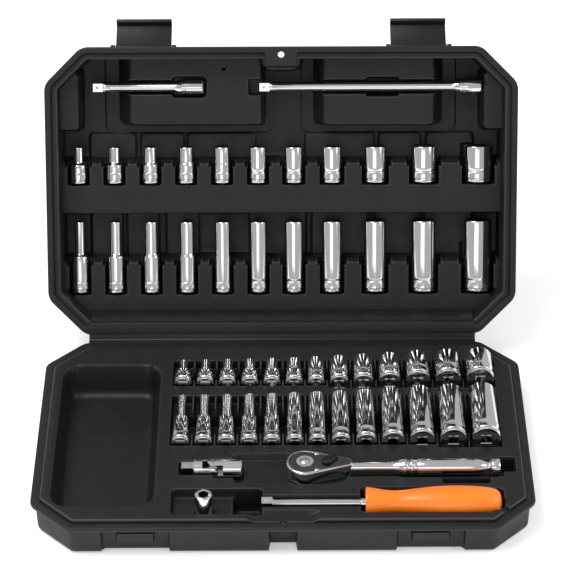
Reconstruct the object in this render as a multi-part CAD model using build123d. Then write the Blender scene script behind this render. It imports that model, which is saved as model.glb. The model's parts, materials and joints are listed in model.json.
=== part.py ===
from build123d import *
import os
from math import cos, pi, radians, sin, sqrt

# Socket wrench set in a hinged twin-wall plastic case, lid standing open. Millimetres.
# Origin: centre of the case's underside. +X right, +Y towards the hinge, +Z up.

# ---- case ----
case_width = 324.0
case_depth = 200.0
corner_cut = 25.5
base_height = 23.3
lid_height = 40.0
outer_wall = 2.0
inner_wall = 1.6
flange_overhang = 3.2
flange_thickness = 3.0
deck_rise = 2.5
deck_inset = 6.0
deck_inset_back = 9.0
recess_play = 0.4            # the deck's rise stands this far inside the lid's recess
recess_floor_play = 0.1
hinge_offset = 3.2           # hinge line behind the rims
lid_open_angle = 114.24
web_thickness = 1.0
web_half_length = 134.0
lock_hole_radius = 2.2
lock_hole_inset = 5.6
lock_notch_half = 9.0
lock_notch_depth = 7.8
deck_notch_half = 22.0
deck_notch_depth = 8.0

# ---- latches ----
latch_x = 94.0
latch_width = 38.0
latch_recess_width = 43.6
latch_recess_depth = 3.0
latch_arm = 2.4
latch_gap = 0.4
latch_pin_radius = 1.25
latch_pin_play = 0.08
latch_knuckle_radius = 2.6
latch_pin_out = 1.6          # pin centre outside the rim's edge
latch_open_angle = 135.0
catch_width = 24.5
catch_low = 8.3
catch_high = 17.5
catch_proud = 3.2
lip_thickness = 2.6
latch_roof = 1.6             # wall between the lid's recess and each latch recess
latch_roof_inset = 4.5

# ---- sockets ----
drive = 6.35                 # quarter inch square
drive_play = 0.12
drive_depth = 8.0
shallow_length = 25.0
deep_length = 50.0
hex_depth = 9.0
deep_hex_depth = 22.0
hex_play = 0.12
shoulder = 2.2
# size name, across flats, outside diameter at the drive end, outside diameter at the work end
metric = [("4", 4.0, 12.0, 6.8), ("4_5", 4.5, 12.0, 7.4), ("5", 5.0, 12.0, 8.0), ("5_5", 5.5, 12.0, 8.6),
          ("6", 6.0, 12.0, 9.2), ("7", 7.0, 12.0, 10.6), ("8", 8.0, 12.0, 12.0), ("9", 9.0, 13.0, 13.0),
          ("10", 10.0, 14.0, 14.0), ("11", 11.0, 15.4, 15.4), ("12", 12.0, 16.8, 16.8),
          ("13", 13.0, 17.9, 17.9), ("14", 14.0, 19.0, 19.0)]
inch = [("5_32", 3.97, 12.0, 6.8), ("3_16", 4.76, 12.0, 7.8), ("7_32", 5.56, 12.0, 8.8),
        ("1_4", 6.35, 12.0, 9.8), ("9_32", 7.14, 12.0, 10.9), ("5_16", 7.94, 12.0, 12.0),
        ("11_32", 8.73, 12.8, 12.8), ("3_8", 9.53, 13.8, 13.8), ("7_16", 11.11, 15.6, 15.6),
        ("1_2", 12.7, 17.6, 17.6), ("9_16", 14.29, 19.6, 19.6)]
metric_singles = 6           # the first sizes share a node, the rest have one each
inch_singles = 5

# ---- places in the base: deck pockets ----
seat_gap = 0.3               # a tool rests this far above its pocket's floor
side_gap = 0.8
end_gap = 1.2
rear_gap = 2.4
pocket_floor = 19.2          # floor under every base socket
metric_first_x = -67.4
metric_spacing = 3.05        # between neighbouring sockets
metric_shallow_y = 47.6
metric_deep_y = -17.0
trough_floor = 11.0
trough_start, trough_stop = 0.22, 0.76    # shares of the socket's length
scoop_depth, scoop_rise = 2.4, 2.6        # lowered front walls of the wide sockets
deep_floor = 13.0            # finger wells beside the ratchet
bin_left, bin_right, bin_front, bin_back = -148.6, -83.2, -79.5, 69.5
bin_radius = 12.0
ujoint_x, ujoint_y = -45.4, -42.0
ujoint_left, ujoint_right = 20.6, 18.8    # reach of the square post and of the socket end
ujoint_swing = 10.0          # degrees that the socket end may swing sideways in its pocket
fork_well_radius, fork_well_depth = 6.0, 1.4
ratchet_head_x = 14.3
ratchet_y = -45.0
ratchet_z = 28.4
spinner_tip_x = -14.0
spinner_y = -74.4
spinner_z = 22.5
adapter_x, adapter_y = -50.5, -79.0
adapter_floor = 8.7
adapter_gap = 0.4
adapter_left, adapter_right = -71.2, -13.4
adapter_step, adapter_deep = 19.0, 8.0
finger_left = -32.0          # left edge of the finger wells beside the ratchet and the adapter
shank_well = 5.4
gear_post_well = 7.2
handle_well_back = 10.4
notch_length, notch_front, notch_back = 10.4, -1.8, 13.2    # deep well past the handle's end
thumb_start, thumb_stop, thumb_front = 89.0, 120.0, -12.0   # deep well in front of the handle
head_finger_front, head_finger_back = -12.0, 17.6           # shallow well left of the head
shaft_play, shaft_finger = 1.0, 2.4
adapter_front, adapter_back = -8.8, 15.2

# ---- places in the lid: depth below the lid's rim, distance from the hinge line ----
ledge_depth = 19.0
tool_depth = 16.0            # top of every tool in the lid
lid_floor = lid_height - outer_wall - inner_wall
inch_first_x = -140.9
inch_pitch = 24.9
inch_pitch_ratio = 1.925     # wide sockets stand this many diameters apart
inch_shallow_v = 106.9
inch_deep_v = 29.6
lid_side_gap = 1.5
extension_v = 173.5
bar_slot_half = 4.6
bar_finger_half, bar_finger_depth = 6.6, 30.0      # fingertip notch under the long bar
bar_finger_start, bar_finger_stop = 57.0, 82.0
short_extension_x = -130.2
long_extension_x = -15.4
short_extension_length = 76.4
long_extension_length = 153.4

cavity_inset, cavity_near, cavity_far = 8.3, 13.7, 9.9
lock_bump_half, lock_bump_depth = 13.0, 16.4
side = case_width / 2
lid_far = hinge_offset + case_depth
plateau_depth = 14.0
# x0, x1, nearer and further end from the hinge line, depth of the top
ledges = [(-side, side, 86.5, 124.5, ledge_depth), (-side, side, 10.0, 55.5, ledge_depth)]
bosses = [(-103.8, -13.6, 147.1, lid_far, ledge_depth), (28.8, 105.0, 146.7, lid_far, ledge_depth)]
plateaus = [(-side, -139.6, 144.6, 183.8, plateau_depth), (139.6, side, 144.6, 183.8, plateau_depth)]

# ---- drive tools ----
post_length = 7.6
ball_radius = 1.2
ball_proud = 0.45
extension_shaft = 6.6
extension_end = 10.6
extension_end_length = 15.0
head_radius = 12.2
head_low, head_high = -5.4, 4.8
neck_x, neck_radius = 27.0, 4.0
gear_teeth = 36
gear_radius = 8.3
tooth_depth = 0.55
gear_play = 0.35
hub_radius = 5.6
button_radius = 3.4
button_travel = 1.2
run_play = 0.08
cover_thickness = 1.0
cover_rim = 1.7
screw_x, screw_y = 7.6, 8.3
selector_x = 14.4
selector_shaft = 2.0
pawl_inner, pawl_outer, pawl_half = 9.3, 12.0, 5.2
shank_radius = 3.3
shank_end = 64.0
handle_radius = 5.3
handle_end = 126.6
yoke_diameter = 11.8
yoke_reach = 6.7
ear_radius = 3.3
fork_inner = 3.6
cross_half = 2.9
pivot_radius = 1.4
pivot_play = 0.05
grip_length = 87.4
grip_radius = 11.2
grip_taper = 81.0            # the grip's rounded end starts here
grip_end_radius = 9.4
spinner_shaft = 6.3
spinner_reach = 66.7         # tip to grip
adapter_diameter = 11.5
adapter_length = 25.5
magnet_length = 4.0
bit_hex = 6.35

hinge_y = case_depth / 2 + hinge_offset
hinge_z = base_height
deck_top = base_height + deck_rise
lid_frame = Pos(0, hinge_y, hinge_z) * Rot(180 - lid_open_angle, 0, 0)
nodes = {}


def block(x0, x1, y0, y1, z0, z1):
    """Box between two corners."""
    return Pos((x0 + x1) / 2, (y0 + y1) / 2, (z0 + z1) / 2) * Box(x1 - x0, y1 - y0, z1 - z0)


def outline(inset, near, far):
    """Face: the case's outline, moved in by inset; near and far are its ends along Y."""
    half = case_width / 2 - inset
    cut = corner_cut - inset * (2 - sqrt(2))
    y0, y1 = near + inset, far - inset
    return Polygon((-half + cut, y0), (half - cut, y0), (half, y0 + cut), (half, y1 - cut), (half - cut, y1),
                   (-half + cut, y1), (-half, y1 - cut), (-half, y0 + cut), align=None)


def slab(face, z0, z1):
    """Plate on a face, between two heights."""
    return Pos(0, 0, z0) * extrude(face, z1 - z0)


def turned(*points):
    """Body turned about the Y axis from (radius, distance) points."""
    return revolve(Polygon(*points, align=None), Axis.Y)


def rod(radius, y0, y1):
    """Round bar along Y."""
    return Pos(0, (y0 + y1) / 2, 0) * Rot(90, 0, 0) * Cylinder(radius, y1 - y0)


def bar(face, y0, y1):
    """Straight bar of any section along Y."""
    return Pos(0, y0, 0) * Rot(-90, 0, 0) * extrude(face, y1 - y0)


def post(x, y, radius, z0, z1):
    """Upright round bar."""
    return Pos(x, y, (z0 + z1) / 2) * Cylinder(radius, z1 - z0)


def square_mouth():
    """Face: the quarter inch square mouth of a socket."""
    return Rectangle(drive + 2 * drive_play, drive + 2 * drive_play)


def joined(shapes):
    """Union of a list of shapes."""
    return Part() + list(shapes)


# ---------------------------------------------------------------- sockets
def row_places(rows, first, step):
    """Centre of each socket along its row."""
    places = [first]
    for before, after in zip(rows, rows[1:]):
        places.append(places[-1] + step(before[2], after[2]))
    return places


def socket(flats, drive_od, work_od, length):
    """Socket along +Y, drive end at the origin: end ring, marked band, groove, body, hexagon mouth."""
    r, w = drive_od / 2, work_od / 2
    deep = length > shallow_length
    band = 7.2
    step_at = (length * 0.5 if deep else 12.2) if work_od < drive_od - 1 else band + 1.0
    body = turned((0, 0), (r - 0.7, 0), (r, 0.7), (r, 1.7), (r - 0.4, 1.9), (r - 0.4, 2.5), (r, 2.7),
                  (r, band), (r - 0.3, band + 0.3), (r - 0.3, step_at),
                  (w - 0.15, step_at + shoulder), (w, step_at + shoulder + 1), (w, length - 0.6),
                  (w - 0.6, length), (0, length))
    mouth = deep_hex_depth if deep else hex_depth
    hexagon = RegularPolygon(flats / 2 + hex_play, 6, major_radius=False)
    bore = min(flats / 2 - 0.4, drive / 2)
    body -= bar(square_mouth(), -1, drive_depth)
    body -= bar(hexagon, length - mouth, length + 1)
    body -= rod(bore, drive_depth - 1, length - mouth + 1)
    return body


def socket_row(rows, places, length, y, top_or_floor, frame, prefix, singles):
    """A row of sockets; the small stepped sizes share one node."""
    small = []
    for number, ((name, flats, drive_od, work_od), x) in enumerate(zip(rows, places)):
        placed = frame * Pos(x, y, top_or_floor(drive_od)) * socket(flats, drive_od, work_od, length)
        if number < singles:
            small.append(placed)
        else:
            nodes[f"{prefix}_{name}"] = placed
    nodes[f"{prefix}_small_sizes"] = Compound([piece.solid() for piece in small])


metric_x = row_places(metric, metric_first_x, lambda a, b: (a + b) / 2 + metric_spacing)
inch_x = row_places(inch, inch_first_x, lambda a, b: max(inch_pitch, inch_pitch_ratio * b))


def base_axis(diameter):
    return pocket_floor + seat_gap + diameter / 2


def lid_axis(diameter):
    return -(tool_depth + diameter / 2)


def add_sockets():
    here = Pos(0, 0, 0)
    socket_row(metric, metric_x, shallow_length, metric_shallow_y, base_axis, here, "socket_metric_shallow",
               metric_singles)
    socket_row(metric, metric_x, deep_length, metric_deep_y, base_axis, here, "socket_metric_deep",
               metric_singles)
    socket_row(inch, inch_x, shallow_length, inch_shallow_v, lid_axis, lid_frame, "socket_inch_shallow",
               inch_singles)
    socket_row(inch, inch_x, deep_length, inch_deep_v, lid_axis, lid_frame, "socket_inch_deep", inch_singles)


# ---------------------------------------------------------------- drive tools
def drive_post(y0, y1):
    """Square drive post along Y with the seat of its ball on the upper flat."""
    seat = Pos(0, y0 + (y1 - y0) * 0.45, ball_height()) * Sphere(ball_radius + run_play)
    return chamfer(bar(Rectangle(drive, drive), y0, y1).edges(), 0.35) - seat


def ball_height():
    return drive / 2 + ball_proud - ball_radius


def drive_ball(y0, y1):
    return Pos(0, y0 + (y1 - y0) * 0.45, ball_height()) * Sphere(ball_radius)


def extension(length):
    """Extension bar along +Y from its square end: collar, slim shaft, cone, socket end."""
    s, e = extension_shaft / 2, extension_end / 2
    end = length - extension_end_length
    collar = post_length + 1.6
    body = turned((0, post_length - 0.5), (s + 0.5, post_length), (s + 0.7, collar), (s, collar + 3.4),
                  (s, end - 5), (e - 0.4, end), (e, end + 0.5), (e, length - 0.6), (e - 0.6, length),
                  (0, length))
    body += drive_post(0, post_length)
    return body - bar(square_mouth(), length - drive_depth, length + 1)


def add_extensions():
    turn = Rot(0, 0, -90)
    for name, length, x in (("short", short_extension_length, short_extension_x),
                            ("long", long_extension_length, long_extension_x)):
        place = lid_frame * Pos(x, extension_v, lid_axis(extension_end)) * turn
        nodes[f"extension_{name}"] = place * extension(length)
        nodes[f"extension_{name}_ball"] = place * drive_ball(0, post_length)


def teardrop(shrink):
    """Ratchet head outline: two circles and their common tangents."""
    r0, r1 = head_radius - shrink, neck_radius - shrink * 0.5
    c = (r0 - r1) / neck_x
    s = sqrt(1 - c * c)
    side = Polygon((r0 * c, r0 * s), (r0 * c, -r0 * s), (neck_x + r1 * c, -r1 * s), (neck_x + r1 * c, r1 * s),
                   align=None)
    return Circle(r0) + Pos(neck_x, 0) * Circle(r1) + side


def gear():
    """Drive gear with ratchet teeth, hub, button bore and the square post below."""
    points = []
    for tooth in range(gear_teeth):
        angle = 2 * pi * tooth / gear_teeth
        points.append((gear_radius * cos(angle), gear_radius * sin(angle)))
        low = angle + pi / gear_teeth
        points.append(((gear_radius - tooth_depth) * cos(low), (gear_radius - tooth_depth) * sin(low)))
    body = slab(Polygon(*points, align=None), head_low + 2.3, head_high - cover_thickness - 0.3)
    body += post(0, 0, hub_radius, head_low + 2.3, head_high + 0.5)
    body += post(0, 0, drive / sqrt(2), head_low - 0.4, head_low + 2.3)
    body += Pos(0, 0, head_low + 1) * Rot(-90, 0, 0) * drive_post(0, post_length + 1)
    return body - post(0, 0, button_radius + run_play, head_high - 3.6 - button_travel - 0.1, head_high + 2)


def ratchet_body():
    body = slab(teardrop(0), head_low, head_high)
    body = chamfer(body.edges().group_by(Axis.Z)[-1] + body.edges().group_by(Axis.Z)[0], 0.7)
    h, start, end = handle_radius, shank_end, handle_end
    profile = turned((0, neck_x - 4), (shank_radius, neck_x - 4), (shank_radius, start - 6),
                     (h - 0.5, start - 0.5), (h, start), (h, start + 2), (h - 0.8, start + 2.4),
                     (h - 0.8, start + 4.4), (h, start + 4.8), (h, start + 6.4), (h - 0.8, start + 6.8),
                     (h - 0.8, start + 8.8), (h, start + 9.2), (h, end - 16.6), (h - 1.2, end - 10.6),
                     (h - 2.1, end - 9.2), (h - 2.1, end - 7), (h - 0.4, end - 5.6), (h - 0.2, end - 0.8),
                     (h - 1, end), (0, end))
    body += Rot(0, 0, -90) * profile
    body -= slab(teardrop(cover_rim - 0.05), head_high - cover_thickness, head_high + 1)
    body -= post(0, 0, gear_radius + gear_play, head_low + 2, head_high)
    body -= post(0, 0, drive / sqrt(2) + run_play, head_low - 1, head_low + 3)
    body -= block(0, 15.6, -6.6, 6.6, head_low + 2, head_high)
    body -= post(selector_x, 0, 3.4, head_low + 2, head_high)
    for side in (-1, 1):
        body -= post(screw_x, side * screw_y, 0.95, head_low + 3, head_high)
    return body


def ratchet_cover():
    plate = slab(teardrop(cover_rim), head_high - cover_thickness, head_high)
    plate -= post(0, 0, hub_radius + run_play, head_low, head_high + 1)
    plate -= post(selector_x, 0, selector_shaft + run_play, head_low, head_high + 1)
    for side in (-1, 1):
        plate -= post(screw_x, side * screw_y, 1.0, head_low, head_high + 1)
    return plate


def cover_screw(side):
    """Pan head screw with a cross slot."""
    screw = post(screw_x, side * screw_y, 0.85, head_low + 3.4, head_high)
    screw += post(screw_x, side * screw_y, 1.6, head_high, head_high + 0.7)
    return screw - block(screw_x - 1, screw_x + 1, side * screw_y - 0.2, side * screw_y + 0.2,
                         head_high + 0.35, head_high + 1)


def pawl():
    """Two-ended pawl: ring sector round the gear, rocking on its own pivot."""
    ring = post(0, 0, pawl_outer, head_low + 2.3, head_high - cover_thickness - 0.3)
    ring -= post(0, 0, pawl_inner, head_low, head_high)
    return ring & block(0, 20, -pawl_half, pawl_half, head_low, head_high)


def selector():
    """Thumb lever on a stub shaft through the cover."""
    lever = post(selector_x, 0, selector_shaft, head_high - cover_thickness - 0.9, head_high + 0.4)
    lever += post(selector_x, 0, 3.3, head_high + 0.15, head_high + 1.5)
    lever += block(selector_x - 2.6, selector_x + 5.0, -2.3, 2.3, head_high + 0.4, head_high + 2.3)
    return lever


def release_button():
    r, low = button_radius, head_high - 3.6
    dome = turned((0, low), (r, low), (r, head_high + 0.9), (r * 0.8, head_high + 1.5),
                  (r * 0.4, head_high + 1.8), (0, head_high + 1.85))
    return Rot(90, 0, 0) * dome


def add_ratchet():
    place = Pos(ratchet_head_x, ratchet_y, ratchet_z)
    turn_about = Pos(selector_x, 0, 0) * Rot(0, 0, -20) * Pos(-selector_x, 0, 0)
    rock_about = Pos(pawl_inner, 0, 0) * Rot(0, 0, -5) * Pos(-pawl_inner, 0, 0)
    nodes["ratchet_body"] = place * ratchet_body()
    nodes["ratchet_cover"] = place * ratchet_cover()
    nodes["ratchet_cover_screws"] = Compound([(place * cover_screw(side)).solid() for side in (-1, 1)])
    nodes["ratchet_drive_gear"] = place * gear()
    nodes["ratchet_pawl"] = place * rock_about * pawl()
    nodes["ratchet_selector"] = place * turn_about * selector()
    nodes["ratchet_release_button"] = place * release_button()
    below = Pos(0, 0, head_low + 1) * Rot(-90, 0, 0)
    nodes["ratchet_drive_ball"] = place * below * drive_ball(0, post_length + 1)


def yoke_forks(axis_turn):
    """Pair of round-ended fork ears, from a yoke's body back to the cross, spread along Z before turning."""
    reach = yoke_reach + 0.5
    ears = Cylinder(ear_radius, 30) + block(-ear_radius + 0.1, ear_radius - 0.1, 0, reach, -15, 15)
    ears &= rod(yoke_diameter / 2, -ear_radius, reach)
    ears -= block(-10, 10, -10, yoke_reach, -fork_inner, fork_inner)
    ears -= Cylinder(pivot_radius + pivot_play, 30)
    return Rot(0, axis_turn, 0) * ears


def add_ujoint():
    """Universal joint along X: square post left, socket right, cross between two forks."""
    r = yoke_diameter / 2
    end = ujoint_right
    socket_yoke = turned((0, yoke_reach), (r, yoke_reach), (r, end - 0.6), (r - 0.6, end), (0, end))
    socket_yoke += yoke_forks(0)
    socket_yoke -= bar(square_mouth(), end - drive_depth, end + 1)
    back = ujoint_left - post_length
    drive_yoke = turned((0, yoke_reach), (r, yoke_reach), (r, back - 1), (r - 1, back), (0, back))
    drive_yoke += yoke_forks(90)
    drive_yoke += drive_post(back - 0.5, back + post_length)
    cross = Box(2 * cross_half, 2 * cross_half, 2 * cross_half)
    cross = chamfer(cross.edges(), 0.5) - Cylinder(pivot_radius + 0.02, 20)
    cross -= Rot(0, 90, 0) * Cylinder(pivot_radius + 0.02, 20)
    through = Cylinder(pivot_radius, yoke_diameter - 0.6)
    reach = yoke_diameter / 2 - 0.3
    stubs = [Rot(0, turn, 0) * Pos(0, 0, (reach + pivot_radius + 0.1) / 2) *
             Cylinder(pivot_radius, reach - pivot_radius - 0.1) for turn in (90, -90)]
    centre = Pos(ujoint_x, ujoint_y, base_axis(yoke_diameter))
    right = centre * Rot(0, 0, -90)
    left = centre * Rot(0, 0, 90)
    nodes["ujoint_socket_yoke"] = right * socket_yoke
    nodes["ujoint_drive_yoke"] = left * drive_yoke
    nodes["ujoint_cross"] = right * cross
    nodes["ujoint_pins"] = Compound([(right * piece).solid() for piece in [through] + stubs])
    nodes["ujoint_ball"] = left * drive_ball(back - 0.5, back + post_length)


def add_spinner():
    """Screwdriver-shaped spinner: square tipped shaft and a waisted grip."""
    place = Pos(spinner_tip_x, spinner_y, spinner_z) * Rot(0, 0, -90)
    g = spinner_reach
    side = Spline((10.4, g + 1.2), (9.9, g + 5), (8.7, g + 12), (8.2, g + 18), (8.4, g + 24), (9.6, g + 34),
                  (10.7, g + 45), (grip_radius - 0.05, g + 56), (10.9, g + 66), (10.2, g + 74),
                  (9.0, g + 80), (7.0, g + 84.6), (4.0, g + 87))
    closing = Polyline(side @ 1, (0, g + grip_length), (0, g), (9.4, g), side @ 0)
    grip = revolve(make_face(side + closing), Axis.Y)
    s = spinner_shaft / 2
    bore_end = g + 42
    grip -= rod(s, g - 1, bore_end)
    shaft = turned((0, post_length - 0.4), (s, post_length), (s, bore_end - 0.5), (0, bore_end - 0.5))
    shaft += drive_post(0, post_length)
    nodes["spinner_grip"] = place * grip
    nodes["spinner_shaft"] = place * shaft
    nodes["spinner_ball"] = place * drive_ball(0, post_length)


def add_adapter():
    """Bit adapter standing on its square socket end, hexagon mouth up, magnet at the mouth's floor."""
    r = adapter_diameter / 2
    place = Pos(adapter_x, adapter_y, adapter_floor + seat_gap) * Rot(90, 0, 0)
    body = turned((0, 0), (r - 0.6, 0), (r, 0.6), (r, 2.2), (r - 0.4, 2.5), (r - 0.4, 3.4), (r, 3.7),
                  (r, adapter_length - 0.8), (r - 0.8, adapter_length), (0, adapter_length))
    body -= bar(square_mouth(), -1, drive_depth)
    mouth = RegularPolygon(bit_hex / 2 + hex_play, 6, major_radius=False)
    mouth_floor = adapter_length - 13
    body -= bar(mouth, mouth_floor, adapter_length + 1)
    body -= rod(bit_hex / 2 - 0.5, mouth_floor - magnet_length, mouth_floor + 1)
    nodes["bit_adapter"] = place * body
    magnet = rod(bit_hex / 2 - 0.55, mouth_floor - magnet_length, mouth_floor - 0.2)
    nodes["bit_adapter_magnet"] = place * magnet


# ---------------------------------------------------------------- case shells
def latch_centres():
    return (-latch_x, latch_x)


def shell(near, far, front, height):
    """Outer wall of one half, mouth up at z=0, floor at -height: flange, wall, latch recesses, lock notch.

    near and far are the ends along Y; front is -1 when the latch side is at the near end, 1 at the far end.
    """
    edge = near if front < 0 else far
    wall_face = edge - front * flange_overhang
    body = slab(outline(flange_overhang, near, far), -height, 0)
    body += slab(outline(0, near, far), -flange_thickness, 0)
    hollow = slab(outline(flange_overhang + outer_wall, near, far), -height + outer_wall, 1)

    def front_box(x, half, depth, z0, z1):
        ends = sorted((wall_face + front * 20, wall_face - front * depth))
        return block(x - half, x + half, *ends, z0, z1)

    for x in latch_centres():
        half = latch_recess_width / 2
        hollow -= front_box(x, half + outer_wall, latch_recess_depth + outer_wall, -height, 2)
        body -= front_box(x, half, latch_recess_depth, -height - 1, -flange_thickness)
    hollow -= front_box(0, lock_notch_half + outer_wall, lock_notch_depth + outer_wall, -height, 2)
    body -= front_box(0, lock_notch_half, lock_notch_depth, -height - 1, -flange_thickness)
    body -= hollow
    return body - post(0, edge - front * lock_hole_inset, lock_hole_radius, -flange_thickness - 1, 1)


def shell_inside(near, far, front):
    """Face just inside the outer wall, less the latch recesses and the lock notch."""
    edge = near if front < 0 else far
    wall_face = edge - front * flange_overhang
    face = outline(flange_overhang + outer_wall, near, far)

    def cut(x, half, depth):
        ends = sorted((wall_face + front * 20, wall_face - front * depth))
        return Pos(x, sum(ends) / 2) * Rectangle(2 * half, ends[1] - ends[0])

    for x in latch_centres():
        face -= cut(x, latch_recess_width / 2 + outer_wall, latch_recess_depth + outer_wall)
    return face - cut(0, lock_notch_half + outer_wall, lock_notch_depth + outer_wall)


def add_base_shell():
    y0, y1 = -case_depth / 2, case_depth / 2
    body = Pos(0, 0, base_height) * shell(y0, y1, -1, base_height)
    wall = y0 + flange_overhang + latch_recess_depth
    half = catch_width / 2
    for x in latch_centres():
        body += block(x - half, x + half, wall - catch_proud, wall + 0.5, catch_low, catch_high)
    nodes["base_outer_shell"] = body


def latch_pin_place():
    """Distance from the hinge line and height above the lid's rim plane."""
    far = hinge_offset + case_depth
    return far + latch_pin_out - flange_overhang, -(flange_thickness + latch_knuckle_radius + 0.6)


def add_lid_shell():
    near, far = hinge_offset, hinge_offset + case_depth
    body = shell(near, far, 1, lid_height)
    pin_v, pin_z = latch_pin_place()
    wall = far - flange_overhang - latch_recess_depth
    half = latch_recess_width / 2
    ear = half - latch_width / 2 - latch_gap
    recess = deck_rise + recess_play + recess_floor_play
    notch_half = lock_notch_half + outer_wall
    bump = block(-notch_half, notch_half, far - lock_bump_depth, far, -lid_height, 1)
    body -= slab(outline(flange_overhang + outer_wall, near, far), -recess, 1) - bump
    roof_half = half + outer_wall
    for x in latch_centres():
        body += block(x - roof_half, x + roof_half, wall - outer_wall, far - latch_roof_inset,
                      -recess - latch_roof, -recess)
        for side in (-1, 1):
            centre = x + side * (half - ear / 2)
            body += block(centre - ear / 2, centre + ear / 2, wall - 0.5, pin_v,
                          pin_z - latch_knuckle_radius, pin_z + latch_knuckle_radius)
            body += Pos(centre, pin_v, pin_z) * Rot(0, 90, 0) * Cylinder(latch_knuckle_radius, ear)
        body -= Pos(x, pin_v, pin_z) * Rot(0, 90, 0) * Cylinder(latch_pin_radius + 0.01, 2 * half - 0.8)
    nodes["lid_outer_shell"] = lid_frame * body


def add_latches():
    """Latches: knuckle, arm and hooked lip, drawn closed about the pin, then swung open."""
    pin_v, pin_z = latch_pin_place()
    rim_edge = hinge_offset + case_depth
    arm_inner = rim_edge + latch_gap - pin_v
    arm_outer = arm_inner + latch_arm
    catch_face = rim_edge - flange_overhang - latch_recess_depth + catch_proud
    lip_inner = catch_face - 1.6 - pin_v
    lip_top = base_height - catch_low + seat_gap - pin_z
    tip = lip_top + lip_thickness
    half = latch_width / 2
    latch = Rot(0, 90, 0) * Cylinder(latch_knuckle_radius, latch_width)
    latch += block(-half, half, arm_inner, arm_outer, 0, tip)
    latch += block(-half, half, lip_inner, arm_outer, lip_top, tip)
    latch -= Rot(0, 90, 0) * Cylinder(latch_pin_radius + latch_pin_play, latch_width + 2)
    pins = []
    for name, x in zip(("latch_left", "latch_right"), latch_centres()):
        place = lid_frame * Pos(x, pin_v, pin_z)
        nodes[name] = place * Rot(-latch_open_angle, 0, 0) * latch
        pins.append((place * Rot(0, 90, 0) * Cylinder(latch_pin_radius, latch_recess_width - 1)).solid())
    nodes["latch_pins"] = Compound(pins)


def add_hinge_web():
    """Flexible web from the base's rim to the lid's rim, bent round the hinge line."""
    half = web_thickness / 2
    level = base_height - half
    start = (case_depth / 2, level)
    bend = (hinge_y, level)
    angle = radians(180 - lid_open_angle)
    along = (cos(angle), sin(angle))
    normal = (-sin(angle), cos(angle))
    end = (hinge_y + along[0] * hinge_offset - normal[0] * half,
           hinge_z + along[1] * hinge_offset - normal[1] * half)
    mitre = half * (1 - along[0]) / along[1]
    lower_end = (end[0] - normal[0] * half, end[1] - normal[1] * half)
    upper_end = (end[0] + normal[0] * half, end[1] + normal[1] * half)
    lower = [(start[0], level - half), (bend[0] + mitre, level - half), lower_end]
    upper = [upper_end, (bend[0] - mitre, level + half), (start[0], level + half)]
    section = Plane.YZ * Polygon(*lower, *upper, align=None)
    nodes["hinge_web"] = Pos(-web_half_length, 0, 0) * extrude(section, 2 * web_half_length, dir=(1, 0, 0))


# ---------------------------------------------------------------- inner trays
def base_wells():
    """Rectangular pockets of the base's deck: x0, x1, y0, y1, floor."""
    wells = []
    for length, y in ((shallow_length, metric_shallow_y), (deep_length, metric_deep_y)):
        for (_, _, drive_od, work_od), x in zip(metric, metric_x):
            half = max(drive_od, work_od) / 2 + side_gap
            wells.append((x - half, x + half, y - end_gap, y + length + rear_gap, pocket_floor))
        left = metric_x[0] - metric[0][2] / 2 - side_gap
        right = metric_x[-1] + metric[-1][2] / 2 + side_gap
        wells.append((left, right, y + length * trough_start, y + length * trough_stop, trough_floor))
    for length, y, first in ((shallow_length, metric_shallow_y, 7), (deep_length, metric_deep_y, 11)):
        left = metric_x[first] - metric[first][2] / 2 - side_gap
        right = metric_x[-1] + metric[-1][2] / 2 + side_gap
        wells.append((left, right, y - end_gap - scoop_depth, y, pocket_floor + scoop_rise))
    r = yoke_diameter / 2 + side_gap
    wells.append((ujoint_x - ujoint_left - end_gap, ujoint_x, ujoint_y - r, ujoint_y + r, pocket_floor))
    swing = radians(ujoint_swing)
    half = ujoint_right * sin(swing) + yoke_diameter / 2 * cos(swing) + side_gap / 2
    end = ujoint_x + ujoint_right + end_gap
    wells.append((ujoint_x - 1, end, ujoint_y - half, ujoint_y + half, pocket_floor))
    floor = ratchet_z + head_low - seat_gap
    head = head_radius + side_gap
    x = ratchet_head_x
    wells.append((x - head, x + neck_x, ratchet_y - head, ratchet_y + head, floor))
    wells.append((x + neck_x, x + shank_end + 2, ratchet_y - shank_well, ratchet_y + shank_well, floor))
    handle_floor = ratchet_z - handle_radius - seat_gap
    front, back = ratchet_y - handle_radius - 1, ratchet_y + handle_well_back
    wells.append((x + shank_end - 3, x + handle_end + end_gap, front, back, handle_floor))
    end = x + handle_end
    wells.append((end, end + notch_length, ratchet_y + notch_front, ratchet_y + notch_back, deep_floor))
    wells.append((x + thumb_start, x + thumb_stop, ratchet_y + thumb_front, ratchet_y - handle_radius,
                  deep_floor))
    wells.append((finger_left, x - head + 2, ratchet_y + head_finger_front, ratchet_y + head_finger_back,
                  pocket_floor + 2.0))
    grip_x = spinner_tip_x + spinner_reach
    shaft = spinner_shaft / 2 + shaft_play
    wells.append((spinner_tip_x - 1.4, grip_x, spinner_y - shaft - shaft_finger, spinner_y + shaft,
                  spinner_z - drive / 2 - seat_gap))
    grip_half = grip_radius + seat_gap
    wells.append((grip_x - 2.4, grip_x + grip_taper, spinner_y - grip_half, spinner_y + grip_half,
                  spinner_z - grip_half))
    end_half = grip_end_radius + seat_gap
    taper_x = grip_x + grip_taper
    wells.append((taper_x - 0.1, grip_x + grip_length + 1.0, spinner_y - end_half, spinner_y + end_half,
                  spinner_z - grip_half))
    front, back = adapter_y + adapter_front, adapter_y + adapter_back
    wells.append((adapter_left, adapter_right, front, back, adapter_step))
    wells.append((finger_left, adapter_right, front, back, adapter_deep))
    return wells


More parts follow.
